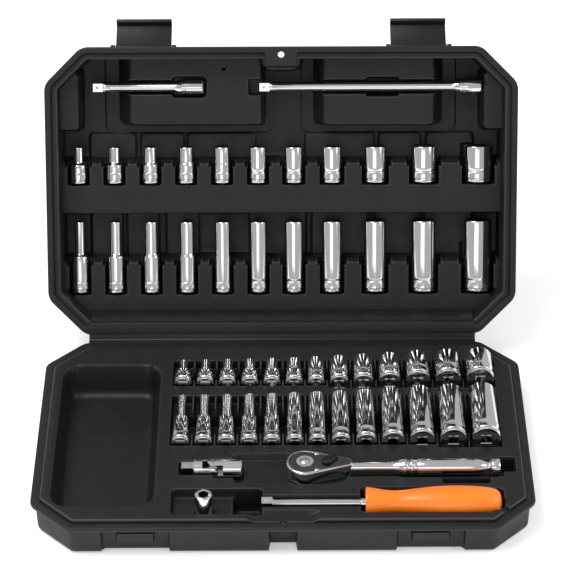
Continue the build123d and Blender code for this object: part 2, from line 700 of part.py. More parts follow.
def base_round_wells():
    """Round pockets: x, y, radius, floor."""
    return [(ratchet_head_x, ratchet_y, gear_post_well, deep_floor),
            (ujoint_x, ujoint_y, fork_well_radius, pocket_floor - fork_well_depth),
            (adapter_x, adapter_y, adapter_diameter / 2 + adapter_gap, adapter_floor)]


def add_base_tray():
    """Inner wall of the base: rim, raised deck and one skin that follows every pocket."""
    y0, y1 = -case_depth / 2, case_depth / 2
    back = y1 - (deck_inset_back - deck_inset)
    t = inner_wall

    def deck(grow):
        edge = y0 + deck_inset
        half = deck_notch_half + grow
        notch = block(-half, half, edge - 9, edge + deck_notch_depth + grow, -1, 99)
        return outline(deck_inset + grow, y0, back), notch

    face, notch = deck(0)
    inner_face, inner_notch = deck(t)
    tray = slab(shell_inside(y0, y1, -1), base_height - t, base_height)
    tray += slab(face, base_height, deck_top) - notch
    tray -= slab(inner_face, 0, deck_top - t) - inner_notch
    wells = base_wells()
    wells_round = base_round_wells()
    tray += joined([block(a - t, b + t, c - t, d + t, f - t, deck_top - 0.2) for a, b, c, d, f in wells])
    tray += joined([post(x, y, r + t, f - t, deck_top - 3) for x, y, r, f in wells_round])
    tray -= joined([block(a, b, c, d, f, deck_top + 9) for a, b, c, d, f in wells])
    tray -= joined([post(x, y, r, f, deck_top + 9) for x, y, r, f in wells_round])
    wide, long = bin_right - bin_left, bin_back - bin_front
    middle = Pos((bin_left + bin_right) / 2, (bin_front + bin_back) / 2)
    floor = outer_wall + inner_wall
    bin_outside = RectangleRounded(wide + 2 * t, long + 2 * t, bin_radius + t)
    tray += slab(middle * bin_outside, floor - t, deck_top - 0.2)
    tray -= slab(middle * RectangleRounded(wide, long, bin_radius), floor, deck_top + 9)
    nodes["base_inner_tray"] = tray


def raised_space():
    """Space that the ledges and bosses fill, down to the tray's back."""
    near, far = hinge_offset, hinge_offset + case_depth
    space = joined([block(a, b, c, d, -lid_floor - inner_wall, -w) for a, b, c, d, w in ledges + bosses])
    return space & slab(outline(cavity_inset, near, far), -lid_height, 0)


def lid_slots():
    """Slots in the lid's ledges and bosses: x0, x1, v0, v1, floor depth."""
    slots = []
    for v, ledge in ((inch_shallow_v, ledges[0]), (inch_deep_v, ledges[1])):
        for (_, _, drive_od, _), x in zip(inch, inch_x):
            half = drive_od / 2 + lid_side_gap
            slots.append((x - half, x + half, v - end_gap, ledge[3] + 3, tool_depth + drive_od + seat_gap))
    end_floor = tool_depth + extension_end + seat_gap
    shaft_floor = tool_depth + (extension_end + extension_shaft) / 2 + seat_gap
    v = extension_v
    short_end = short_extension_x + short_extension_length
    slots.append((bosses[0][0] - 3, short_end - 6, v - bar_slot_half, v + bar_slot_half, end_floor))
    finger = bar_finger_half
    slots.append((short_end - 22, short_end + 1.8, v - 7.2, v + 7.2, end_floor))
    slots.append((long_extension_x - 7, bosses[0][1] + 3, v - 5.4, v + 5.4, end_floor))
    slots.append((bosses[1][0] - 3, bosses[1][1] + 3, v - bar_slot_half, v + bar_slot_half, shaft_floor))
    slots.append((bar_finger_start, bar_finger_stop, v - finger, v + finger, bar_finger_depth))
    return slots


def add_lid_tray():
    """Inner wall of the lid: recessed rim, cavity, and hollow ledges and bosses with their slots."""
    near, far = hinge_offset, hinge_offset + case_depth
    t = inner_wall
    rim = -deck_rise - recess_play - recess_floor_play

    def cavity(grow):
        inset = cavity_inset - grow
        face = outline(inset, near + cavity_near - cavity_inset, far - cavity_far + cavity_inset)
        bump = Pos(0, far) * Rectangle(2 * (lock_bump_half - grow), 2 * (lock_bump_depth - grow))
        return face - bump

    hollow = slab(cavity(0), -lid_floor, 1)
    tray = slab(shell_inside(near, far, 1), rim - t, rim) + slab(cavity(t), -lid_floor - t, rim) - hollow
    raised = ledges + bosses + plateaus
    solids = joined([block(a, b, c, d, -lid_floor - 0.5, -w) for a, b, c, d, w in raised]) & hollow
    under = joined([block(a + t, b - t, c + t, d - t, -lid_height, -w - t) for a, b, c, d, w in raised])
    under &= slab(cavity(-t), -lid_height, 0)
    tray = tray + solids - under
    slots = lid_slots()
    skins = joined([block(a - t, b + t, c - t, d, -f - t, -ledge_depth) for a, b, c, d, f in slots])
    tray += skins & raised_space()
    tray -= joined([block(a, b, c, d, -f, 1) for a, b, c, d, f in slots])
    nodes["lid_inner_tray"] = lid_frame * tray


add_sockets()
add_extensions()
add_ratchet()
add_ujoint()
add_spinner()
add_adapter()
add_base_shell()
add_lid_shell()
add_latches()
add_hinge_web()
add_base_tray()
add_lid_tray()
os.makedirs("parts", exist_ok=True)
for name, shape in nodes.items():
    export_step(shape, f"parts/{name}.step")
    print(name, len(shape.solids()), round(shape.volume, 1))
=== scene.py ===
# Socket wrench set in its open case. Pieces are surfaces worked out with numpy, in millimetres,
# and turned into metres when their mesh is made.
import bpy
import bmesh
import json
import math
import numpy as np
from mathutils import Matrix, Vector

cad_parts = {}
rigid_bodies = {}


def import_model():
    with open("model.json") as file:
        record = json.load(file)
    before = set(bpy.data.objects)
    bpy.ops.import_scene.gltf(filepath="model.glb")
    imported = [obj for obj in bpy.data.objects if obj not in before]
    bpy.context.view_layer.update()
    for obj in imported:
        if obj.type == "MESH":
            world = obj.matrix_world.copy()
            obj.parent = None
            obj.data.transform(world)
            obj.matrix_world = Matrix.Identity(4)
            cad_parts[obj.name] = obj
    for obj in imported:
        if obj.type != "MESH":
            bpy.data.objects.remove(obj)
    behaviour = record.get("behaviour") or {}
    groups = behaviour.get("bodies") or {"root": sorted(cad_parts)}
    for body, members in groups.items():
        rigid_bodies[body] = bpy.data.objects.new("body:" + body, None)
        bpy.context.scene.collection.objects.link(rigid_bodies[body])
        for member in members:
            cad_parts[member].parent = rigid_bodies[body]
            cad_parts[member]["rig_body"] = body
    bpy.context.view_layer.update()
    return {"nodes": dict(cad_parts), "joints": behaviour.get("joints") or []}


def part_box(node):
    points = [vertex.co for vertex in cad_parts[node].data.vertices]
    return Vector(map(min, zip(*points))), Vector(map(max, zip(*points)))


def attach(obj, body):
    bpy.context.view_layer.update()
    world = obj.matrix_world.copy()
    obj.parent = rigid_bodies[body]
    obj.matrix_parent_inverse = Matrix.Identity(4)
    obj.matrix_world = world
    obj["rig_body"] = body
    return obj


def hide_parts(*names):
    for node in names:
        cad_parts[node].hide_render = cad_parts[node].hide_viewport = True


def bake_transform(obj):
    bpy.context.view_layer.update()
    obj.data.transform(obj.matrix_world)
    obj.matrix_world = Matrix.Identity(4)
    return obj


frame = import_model()
scene = bpy.context.scene
metres = 0.001


def boxOf(node):
    # lowest and highest corner of a CAD node, millimetres
    low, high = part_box(node)
    return np.array(low) / metres, np.array(high) / metres


# ---- the frame that every piece is placed by ----
shellLow, shellHigh = boxOf("base_outer_shell")
hinge = {joint["name"]: joint for joint in frame["joints"]}["lid_hinge"]
case = {
    "half": (shellHigh[0] - shellLow[0]) / 2, "near": shellLow[1], "far": shellHigh[1], "rim": shellHigh[2],
    "cut": 25.5, "deckRise": 2.5, "deckInsetBack": 3.0, "lidHeight": 40.0, "hingeOffset": 3.2,
    "baseCorner": 9.6, "lidCorner": 11.6,
    "rimPlay": 0.1, "latchX": 94.0, "latchHalf": 21.8, "latchDepth": 3.0,
    "notchHalf": 9.0, "notchDepth": 7.8, "lockHole": 2.2, "lockInset": 5.6,
}
case["deck"] = case["rim"] + case["deckRise"]
lidTurn = math.radians(180 + hinge["range_deg"][0])
hingePoint = np.array(hinge["pos_m"]) / metres
lidPlace = np.eye(4)
lidPlace[1:3, 1:3] = [[math.cos(lidTurn), -math.sin(lidTurn)], [math.sin(lidTurn), math.cos(lidTurn)]]
lidPlace[:3, 3] = [0, hingePoint[1], hingePoint[2]]
lidFar = case["hingeOffset"] + case["far"] - case["near"]


def shifted(x=0.0, y=0.0, z=0.0, turn=0.0, axis="Z"):
    # place matrix: a turn in degrees about one axis, then a move
    place = np.array(Matrix.Rotation(math.radians(turn), 4, axis))
    place[:3, 3] = [x, y, z]
    return place


def inPlace(points, place):
    return points @ place[:3, :3].T + place[:3, 3]


# ---- materials: each is a chain of procedural nodes on Object coordinates ----
class Shader:
    def __init__(self, name):
        self.material = bpy.data.materials.new(name)
        self.material.use_nodes = True
        self.nodes = self.material.node_tree.nodes
        self.links = self.material.node_tree.links
        self.main = self.nodes["Principled BSDF"]
        self.place = self.nodes.new("ShaderNodeTexCoord").outputs["Object"]

    def put(self, **sockets):
        for name, value in sockets.items():
            self.main.inputs[name.replace("_", " ")].default_value = value
        return self

    def noise(self, scale, detail=3.0, rough=0.55, stretch=None):
        node = self.nodes.new("ShaderNodeTexNoise")
        node.inputs["Scale"].default_value = scale
        node.inputs["Detail"].default_value = detail
        node.inputs["Roughness"].default_value = rough
        source = self.place
        if stretch:
            mapping = self.nodes.new("ShaderNodeMapping")
            mapping.inputs["Scale"].default_value = stretch
            self.links.new(source, mapping.inputs["Vector"])
            source = mapping.outputs["Vector"]
        self.links.new(source, node.inputs["Vector"])
        return node.outputs["Fac"]

    def spread(self, value, low, high, fromLow=0.3, fromHigh=0.7):
        node = self.nodes.new("ShaderNodeMapRange")
        node.inputs["From Min"].default_value = fromLow
        node.inputs["From Max"].default_value = fromHigh
        node.inputs["To Min"].default_value = low
        node.inputs["To Max"].default_value = high
        self.links.new(value, node.inputs["Value"])
        return node.outputs["Result"]

    def tint(self, value, *stops):
        node = self.nodes.new("ShaderNodeValToRGB")
        ramp = node.color_ramp.elements
        for element, (where, colour) in zip(ramp, stops):
            element.position = where
            element.color = (*colour, 1)
        for where, colour in stops[2:]:
            ramp.new(where).color = (*colour, 1)
        self.links.new(value, node.inputs["Fac"])
        self.links.new(node.outputs["Color"], self.main.inputs["Base Color"])

    def rough(self, value, low, high):
        self.links.new(self.spread(value, low, high), self.main.inputs["Roughness"])

    def bump(self, *layers):
        normal = None
        for value, strength, distance in layers:
            node = self.nodes.new("ShaderNodeBump")
            node.inputs["Strength"].default_value = strength
            node.inputs["Distance"].default_value = distance
            self.links.new(value, node.inputs["Height"])
            if normal:
                self.links.new(normal, node.inputs["Normal"])
            normal = node.outputs["Normal"]
        self.links.new(normal, self.main.inputs["Normal"])
        return self

    def paintEdgeHighlightAndCreaseShade(self, pale, dark):
        # painted highlight on the tray's convex edges and painted shade in its creases, mixed into the colour from
        # the mesh's per-point values
        value = self.nodes.new("ShaderNodeAttribute")
        value.attribute_name = "paintedLightAndShade"
        source = self.main.inputs["Base Color"].links[0].from_socket
        # first mix: painted highlight towards the pale colour; second mix: painted shade towards the dark colour
        for colour, low, high in ((pale, 0.12, 0.9), (dark, -0.12, -0.9)):
            mix = self.nodes.new("ShaderNodeMix")
            mix.data_type = "RGBA"
            self.links.new(self.spread(value.outputs["Fac"], 0.0, 1.0, low, high), mix.inputs["Factor"])
            self.links.new(source, mix.inputs["A"])
            mix.inputs["B"].default_value = (*colour, 1)
            source = mix.outputs["Result"]
        self.links.new(source, self.main.inputs["Base Color"])


# the last two colours are painted light: a painted highlight colour for convex edges and a painted shade colour for
# creases
plasticLook = {"dark": (0.0046, 0.0046, 0.0049), "pale": (0.0078, 0.0078, 0.0081), "grain": 900.0,
               "roughLow": 0.42, "roughHigh": 0.54, "shine": 0.36, "edge": (0.042, 0.042, 0.043),
               "creaseShade": (0.0018, 0.0018, 0.0019)}


def mouldedPlastic(name, gain=1.0, rougher=0.0):
    # blow-moulded polyethylene: fine grain, faint clouding, a little sheen, with painted highlights on its edges and
    # painted shade in its creases
    look = Shader(name)
    cloud = look.noise(26.0, 4.0)
    colours = [tuple(channel * gain for channel in plasticLook[key]) for key in ("dark", "pale")]
    look.tint(cloud, (0.25, colours[0]), (0.75, colours[1]))
    # painted highlight on edges, painted shade in creases
    look.paintEdgeHighlightAndCreaseShade(plasticLook["edge"], plasticLook["creaseShade"])
    grain = look.noise(plasticLook["grain"], 2.0, 0.6)
    look.rough(look.noise(140.0, 3.0), plasticLook["roughLow"] + rougher, plasticLook["roughHigh"] + rougher)
    look.bump((cloud, 0.10, 0.0008), (grain, 0.16, 0.00012))
    look.put(Specular_IOR_Level=plasticLook["shine"], IOR=1.5)
    return look.material


def chrome(name, colour, roughLow, roughHigh, along=None, brushed=0.0):
    # plated steel: faint haze, hairline marks and slow waviness
    look = Shader(name)
    haze = look.noise(70.0, 4.0)
    look.tint(haze, (0.2, tuple(channel * 0.93 for channel in colour)), (0.8, colour))
    lines = look.noise(260.0, 2.0, 0.5, along or (1, 1, 1))
    look.rough(lines, roughLow, roughHigh)
    look.bump((haze, 0.02, 0.00012), (lines, 0.008 + brushed, 0.00002))
    look.put(Metallic=1.0, IOR=2.5)
    return look.material


def gripPlastic(name):
    # glossy moulded orange, a shade deeper in its clouding
    look = Shader(name)
    cloud = look.noise(38.0, 3.0)
    look.tint(cloud, (0.3, (0.90, 0.185, 0.003)), (0.7, (0.95, 0.230, 0.006)))
    look.rough(look.noise(160.0, 3.0), 0.26, 0.36)
    look.bump((look.noise(420.0, 2.0), 0.05, 0.0001))
    look.put(Coat_Weight=0.35, Coat_Roughness=0.18)
    look.put(Subsurface_Weight=0.06, Subsurface_Radius=(0.004, 0.0015, 0.0005))
    return look.material


materials = {
    "shell": mouldedPlastic("caseShellPlastic", 1.05),
    "tray": mouldedPlastic("caseTrayPlastic", 1.0, 0.02),
    "latch": mouldedPlastic("latchPlastic", 0.8, 0.04),
    "lever": mouldedPlastic("leverPlastic", 0.6, -0.12),
    "chrome": chrome("polishedChrome", (0.70, 0.70, 0.71), 0.07, 0.13),
    "satin": chrome("satinCoverPlate", (0.13, 0.13, 0.135), 0.22, 0.34, (1, 6, 1), 0.05),
    "steel": chrome("springSteel", (0.55, 0.55, 0.56), 0.16, 0.26),
    "orange": gripPlastic("orangeGrip"),
}
print("materials made")


# ---- meshes from arrays ----
def gridQuads(rows, columns, closed=True):
    # faces between neighbouring rows of points; closed joins the last column to the first
    i = np.arange(rows - 1)[:, None] * columns
    count = columns if closed else columns - 1
    j = np.arange(count)[None, :]
    k = (j + 1) % columns
    return np.stack([i + j, i + k, i + columns + k, i + columns + j], axis=-1).reshape(-1, 4)


def makePiece(name, points, faces, body, material, replaced=(), slot=None, place=None, sharp=38.0, merge=False,
              paintedLightAndShade=None):
    points = np.asarray(points, float)
    if place is not None:
        points = inPlace(points, place)
    mesh = bpy.data.meshes.new(name)
    mesh.from_pydata((points * metres).tolist(), [], [list(face) for face in faces])
    # per-point values that paint highlight or shade into the colour
    if paintedLightAndShade is not None:
        mesh.attributes.new("paintedLightAndShade", "FLOAT", "POINT").data.foreach_set("value", np.asarray(paintedLightAndShade, np.float32))
    work = bmesh.new()
    work.from_mesh(mesh)
    if merge:
        bmesh.ops.remove_doubles(work, verts=work.verts, dist=1e-6)
    if work.calc_volume(signed=True) < 0:
        bmesh.ops.reverse_faces(work, faces=work.faces)
    work.to_mesh(mesh)
    work.free()
    mesh.shade_smooth()
    mesh.set_sharp_from_angle(angle=math.radians(sharp))
    mesh.materials.append(materials[material])
    piece = bpy.data.objects.new(name, mesh)
    scene.collection.objects.link(piece)
    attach(piece, body)
    if replaced:
        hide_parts(*replaced)
    return piece


def together(parts):
    # several (points, faces) pairs as one
    points, faces, start = [], [], 0
    for somePoints, someFaces in parts:
        points.append(np.asarray(somePoints, float))
        faces += [[index + start for index in face] for face in someFaces]
        start += len(somePoints)
    return np.concatenate(points), faces


# ---- relief of a moulded tray: walls round boxes on a grid of its own lines ----
def wallDrop(s, depth, top, run, foot):
    # drop of a wall at distance s past its upper edge: round edge, drafted wall, round foot
    top, foot = min(top, depth * 0.45), min(foot, depth * 0.45)
    a = top - np.sqrt(top ** 2 - np.clip(s + top, 0, top) ** 2)
    b = (depth - top - foot) * np.clip(s / run, 0, 1)
    c = np.sqrt(foot ** 2 - (foot - np.clip(s - run, 0, foot)) ** 2)
    return a + b + c


def boxDistance(x, y, box, radius=0.0, stretch=(1, 1, 1, 1)):
    # signed distance to a rounded box, negative inside; stretch widens the slope of each side
    x0, x1, y0, y1 = box
    sx = np.maximum((x0 - x) / stretch[0], (x - x1) / stretch[1]) + radius
    sy = np.maximum((y0 - y) / stretch[2], (y - y1) / stretch[3]) + radius
    return np.hypot(np.maximum(sx, 0), np.maximum(sy, 0)) + np.minimum(np.maximum(sx, sy), 0) - radius


def feature(box, level, base=None, radius=1.0, wall=(0.5, 0.5, 0.6), stretch=(1, 1, 1, 1)):
    return {"box": box, "level": level, "base": base, "radius": radius, "wall": wall, "stretch": stretch}


def edgeLines(features, axis, sign):
    # grid lines that every wall of the features needs along one axis
    lines = []
    for item in features:
        top, run, foot = item["wall"]
        stops = np.array([-top, -0.4 * top, 0, run, run + 0.35 * foot, run + foot])
        low, high = item["box"][2 * axis:2 * axis + 2]
        lines += list(low - sign * stops * item["stretch"][2 * axis])
        lines += list(high + sign * stops * item["stretch"][2 * axis + 1])
    return lines


def gridLines(wanted, low, high, step, least):
    # the wanted lines between low and high, none nearer than least, with wide gaps filled in
    wanted = sorted(line for line in wanted if low + least < line < high - least)
    lines = [low]
    for line in wanted:
        if line - lines[-1] > least:
            lines.append(line)
    lines.append(high)
    filled = [low]
    for before, after in zip(lines, lines[1:]):
        count = max(1, math.ceil((after - before) / step))
        filled += list(before + (after - before) * np.arange(1, count + 1) / count)
    return np.array(filled)


def convexity(x, y, z):
    # how fast the surface normal turns outwards, from the grid's own differences; it decides where highlight is
    # painted on convex places and shade in concave ones
    dx, dy = np.maximum(np.gradient(x, axis=1), 1e-3), np.maximum(np.gradient(y, axis=0), 1e-3)
    sx, sy = np.gradient(z, axis=1) / dx, np.gradient(z, axis=0) / dy
    size = np.sqrt(1 + sx ** 2 + sy ** 2)
    return np.clip(-0.55 * (np.gradient(sx / size, axis=1) / dx + np.gradient(sy / size, axis=0) / dy), -1, 1)


def trayBlock(xLines, yLines, height, border, rings, ringPaintedLight):
    # Grid squeezed to the case's eight-sided outline, then carried outwards and down its rings.
    # border = half width, near, far and corner cut of the grid; a ring gives (outward, level) from the
    # grid's edge points and normals, and the last argument gives each ring's painted light value: painted highlight
    # above 0, painted shade below 0.
    half, near, far, cut = border
    y = np.repeat(yLines[:, None], len(xLines), 1)
    x = np.repeat(xLines[None, :], len(yLines), 0)
    limit = half - np.maximum(0, cut - (y - near)) - np.maximum(0, cut - (far - y))
    inner = half - cut
    outside = np.abs(x) > inner
    x = np.where(outside, np.sign(x) * (inner + (np.abs(x) - inner) * (limit - inner) / cut), x)
    z = height(x, y)
    rows, columns = x.shape
    points = np.stack([x, y, z], -1).reshape(-1, 3)
    faces = [list(face) for face in gridQuads(rows, columns, False)]
    index = np.arange(rows * columns).reshape(rows, columns)
    insideX = np.abs(xLines) <= inner + 1e-6
    lowCut = yLines <= near + cut + 1e-6
    highCut = yLines >= far - cut - 1e-6
    middle = (yLines >= near + cut - 1e-6) & (yLines <= far - cut + 1e-6)
    q = math.sqrt(0.5)
    sides = [(index[0, insideX], (0, -1)), (index[lowCut, -1], (q, -q)), (index[middle, -1], (1, 0)),
             (index[highCut, -1], (q, q)), (index[-1, insideX][::-1], (0, 1)), (index[highCut, 0][::-1], (-q, q)),
             (index[middle, 0][::-1], (-1, 0)), (index[lowCut, 0][::-1], (-q, -q))]
    loop, normals = [], []
    for number, (side, normal) in enumerate(sides):
        loop += list(side)
        normals += [normal] * len(side)
        following = sides[(number + 1) % 8][1]
        for share in (0.25, 0.5, 0.75):
            mixed = np.array(normal) * (1 - share) + np.array(following) * share
            loop.append(side[-1])
            normals.append(tuple(mixed / np.linalg.norm(mixed)))
    loop, normals = np.array(loop), np.array(normals)
    start = points[loop]
    count = len(loop)
    before = loop
    total = len(points)
    allPoints = [points]
    # painted highlight where the surface turns outwards, painted shade where it turns inwards, then each ring's own
    # value
    paintedLightAndShade = [convexity(x, y, z).reshape(-1)] + [np.full(count, value) for value in ringPaintedLight]
    for ring in rings:
        outward, level = ring(start, normals)
        fresh = np.column_stack([start[:, :2] + outward[:, None] * normals, level])
        after = total + np.arange(count)
        following = np.roll(np.arange(count), -1)
        for a in range(count):
            b = following[a]
            face = [before[a], before[b], after[b], after[a]]
            faces.append(face if before[a] != before[b] else [before[a], after[b], after[a]])
        allPoints.append(fresh)
        before = after
        total += count
    faces.append(list(before))
    return np.concatenate(allPoints), faces, np.concatenate(paintedLightAndShade)


def latchPull(x):
    # how far the latch recesses and the lock notch set the wall back at x
    recess = case["latchDepth"] * np.clip(case["latchHalf"] + 2.0 - np.abs(np.abs(x) - case["latchX"]), 0, 1)
    notch = case["notchDepth"] * np.clip(case["notchHalf"] + 2.0 - np.abs(x), 0, 1)
    return np.maximum(recess, notch)


# ---- the sizes in each row, shared by trays, sockets and labels ----
metricRow = {
    "sizes": [("4", 4.0, 12.0, 6.8), ("4.5", 4.5, 12.0, 7.4), ("5", 5.0, 12.0, 8.0), ("5.5", 5.5, 12.0, 8.6),
              ("6", 6.0, 12.0, 9.2), ("7", 7.0, 12.0, 10.6), ("8", 8.0, 12.0, 12.0), ("9", 9.0, 13.0, 13.0),
              ("10", 10.0, 14.0, 14.0), ("11", 11.0, 15.4, 15.4), ("12", 12.0, 16.8, 16.8),
              ("13", 13.0, 17.9, 17.9), ("14", 14.0, 19.0, 19.0)],
    "first": -67.4, "gap": 3.05, "shallow": 47.6, "deep": -17.0, "seat": 19.5, "floor": 19.2, "single": 6,
}
inchRow = {
    "sizes": [("5/32", 3.97, 12.0, 6.8), ("3/16", 4.76, 12.0, 7.8), ("7/32", 5.56, 12.0, 8.8),
              ("1/4", 6.35, 12.0, 9.8), ("9/32", 7.14, 12.0, 10.9), ("5/16", 7.94, 12.0, 12.0),
              ("11/32", 8.73, 12.8, 12.8), ("3/8", 9.53, 13.8, 13.8), ("7/16", 11.11, 15.6, 15.6),
              ("1/2", 12.7, 17.6, 17.6), ("9/16", 14.29, 19.6, 19.6)],
    "first": -140.9, "pitch": 24.9, "ratio": 1.925, "shallow": 106.9, "deep": 29.6, "top": 16.0, "single": 5,
}
lengths = {"shallow": 25.0, "deep": 50.0}


def rowPlaces(row):
    # centres along X: sockets a gap apart, or a pitch that grows with the socket
    places = [row["first"]]
    for before, after in zip(row["sizes"], row["sizes"][1:]):
        if "gap" in row:
            step = (before[2] + after[2]) / 2 + row["gap"]
        else:
            step = max(row["pitch"], row["ratio"] * after[2])
        places.append(places[-1] + step)
    return places


metricX, inchX = rowPlaces(metricRow), rowPlaces(inchRow)

# ---- base tray ----
base = {
    "inset": 9.6, "floor": 2.15,
    "bin": (-148.6, -83.2, -79.5, 69.5), "binFloor": 3.6,
    "headX": 14.3, "ratchetY": -45.0, "headFloor": 22.7, "handleFloor": 22.8,
    "jointY": -42.0, "spinnerY": -74.4, "gripFloor": 11.0, "shaftFloor": 19.0,
    "adapter": (-50.5, -79.0), "adapterStep": 19.0, "adapterDeep": 8.0,
}


def baseWells():
    deep = (0.6, 0.9, 1.2)
    x, y = base["headX"], base["ratchetY"]
    wells = [feature(base["bin"], base["binFloor"], radius=12.0, wall=(1.8, 3.4, 4.5))]
    for kind, first in (("shallow", 7), ("deep", 11)):
        front, length = metricRow[kind], lengths[kind]
        for (_, _, drive, _), at in zip(metricRow["sizes"], metricX):
            half = drive / 2 + 0.95
            wells.append(feature((at - half, at + half, front - 1.5, front + length + 2.6), metricRow["floor"],
                                 radius=1.6, wall=(0.5, 0.35, 0.6)))
        left, right = metricX[0] - 6.8, metricX[-1] + 10.3
        wells.append(feature((left, right, front + 0.22 * length, front + 0.76 * length), 11.0, radius=2.0,
                             wall=(0.7, 1.0, 1.6)))
        left = metricX[first] - metricRow["sizes"][first][2] / 2 - 0.8
        wells.append(feature((left, right, front - 3.8, front + 1), metricRow["floor"] + 2.4, radius=1.2,
                             wall=(0.9, 1.2, 1.0)))
    joint, spinner = base["jointY"], base["spinnerY"]
    wells += [
        feature((-67.6, -44.4, joint - 7.0, joint + 7.0), 19.2, radius=2.5, wall=(0.8, 0.5, 0.8)),
        feature((-46.4, -24.8, joint - 9.8, joint + 9.8), 19.2, radius=3.0, wall=(0.8, 0.6, 1.0)),
        feature((-52.0, -38.8, joint - 6.6, joint + 6.6), 17.6, radius=6.5, wall=(0.4, 0.3, 0.4)),
        feature((x - 14.0, x + 27.5, y - 13.6, y + 13.6), base["headFloor"], radius=9.0, wall=(0.8, 0.5, 0.8)),
        feature((x - 7.4, x + 7.4, y - 7.4, y + 7.4), 13.0, radius=7.3, wall=deep),
        feature((x + 24, x + 66, y - 6.0, y + 6.0), base["headFloor"], radius=1.5, wall=(0.8, 0.4, 0.8)),
        feature((x + 60, x + 128.6, y - 6.8, y + 10.7), base["handleFloor"], radius=2.5, wall=(0.9, 0.4, 0.9)),
        feature((x + 126, x + 137.0, y - 1.9, y + 13.4), 13.0, radius=1.5, wall=deep),
        feature((x + 88.6, x + 120, y - 13.0, y - 4), 13.0, radius=2.5, wall=(0.9, 1.4, 1.2)),
        feature((-32.4, x - 9.0, y - 12.4, y + 17.8), 21.2, radius=3.0, wall=(0.9, 1.4, 1.2),
                stretch=(1, 1, 2.5, 1)),
        feature((-15.8, 54.0, spinner - 7.0, spinner + 4.6), base["shaftFloor"], radius=1.6, wall=(0.7, 0.6, 0.8)),
        feature((-14.6, -4.6, spinner - 6.4, spinner + 3.6), 14.0, radius=4.9, wall=(0.6, 0.8, 1.2)),
        feature((49.6, 134.4, spinner - 12.2, spinner + 12.2), base["gripFloor"], radius=3.0, wall=(1.0, 0.4, 1.4)),
        feature((133.0, 141.6, spinner - 10.4, spinner + 10.4), base["gripFloor"], radius=3.0, wall=(1.0, 0.4, 1.4)),
        feature((-71.6, -13.0, -88.2, -63.4), base["adapterStep"], radius=3.0, wall=(0.9, 0.7, 1.2)),
        feature((-32.4, -13.0, -88.2, -63.4), base["adapterDeep"], radius=3.0, wall=(0.9, 1.4, 1.6)),
        feature((-56.9, -44.1, -85.4, -72.6), 8.7, radius=6.3, wall=(0.5, 0.3, 0.6)),
    ]
    edge = case["near"]
    wells.append(feature((-22.6, 22.6, edge - 9, edge + 15.2), case["rim"] + 0.06, radius=2.0,
                         wall=(0.8, 0.9, 0.6), stretch=(3.0, 3.0, 1, 1)))
    return wells


def baseTray():
    wells = baseWells()
    deck = case["deck"]

    def height(x, y):
        z = np.full(x.shape, deck)
        for well in wells:
            top, run, foot = well["wall"]
            s = -boxDistance(x, y, well["box"], well["radius"], well["stretch"])
            z = np.minimum(z, deck - wallDrop(s, deck - well["level"], top, run, foot))
        return z

    inset = base["inset"]
    cut = case["cut"] - inset * (2 - math.sqrt(2))
    far = case["far"] - case["deckInsetBack"]
    border = (case["half"] - inset, case["near"] + inset, far - inset, cut)
    xWanted = edgeLines(wells, 0, -1) + [-border[0] + cut, border[0] - cut]
    yWanted = edgeLines(wells, 1, -1) + [border[1] + cut, border[2] - cut]
    xLines = gridLines(xWanted, -border[0], border[0], 2.6, 0.22)
    yLines = gridLines(yWanted, border[1], border[2], 2.6, 0.22)

    def edge(at, drop):
        return lambda start, normals: (np.full(len(start), inset - at), np.minimum(start[:, 2], deck + drop))

    def plate(level):
        def ring(start, normals):
            return inset - 5.6 + case["deckInsetBack"] * np.maximum(normals[:, 1], 0), np.full(len(start), level)
        return ring

    def skirt(level):
        def ring(start, normals):
            front = normals[:, 1] < -0.9
            return inset - np.maximum(10.8, 5.9 + latchPull(start[:, 0]) * front), np.full(len(start), level)
        return ring

    rim = case["rim"]
    rings = [edge(7.5, 0), edge(6.9, -0.1), edge(6.4, -0.36), edge(6.1, -0.8), edge(5.95, -1.4), edge(5.85, -2.43),
             plate(rim + 0.06), plate(rim + 0.02), skirt(rim - 0.02), skirt(base["floor"])]
    # painted light per ring: painted highlight on the rim's rounding, painted shade at its foot
    ringPaintedLight = [0, 0.5, 0.9, 0.6, 0, -0.8, -0.6, 0, 0, 0]
    points, faces, paintedLightAndShade = trayBlock(xLines, yLines, height, border, rings, ringPaintedLight)
    return makePiece("baseTray", points, faces, "base", "tray", ("base_inner_tray",), "tray_plastic", merge=True,
                     paintedLightAndShade=paintedLightAndShade)


# ---- lid tray, in the lid's own frame: y from the hinge line, z below its rim ----
lid = {
    "inset": 11.6, "floor": 36.4, "ledge": 19.0, "recess": 3.0, "plateau": 14.0,
    "ledgeOne": (85.6, 121.0), "ledgeTwo": (0.0, 51.4), "nearStep": 15.2,
    "bossLeft": (-104.6, -14.0, 147.6, 240), "bossRight": (29.2, 105.4, 147.2, 240),
    "barV": 173.5, "shortX": -130.2, "longX": -15.4, "shortLength": 76.4, "longLength": 153.4,
}


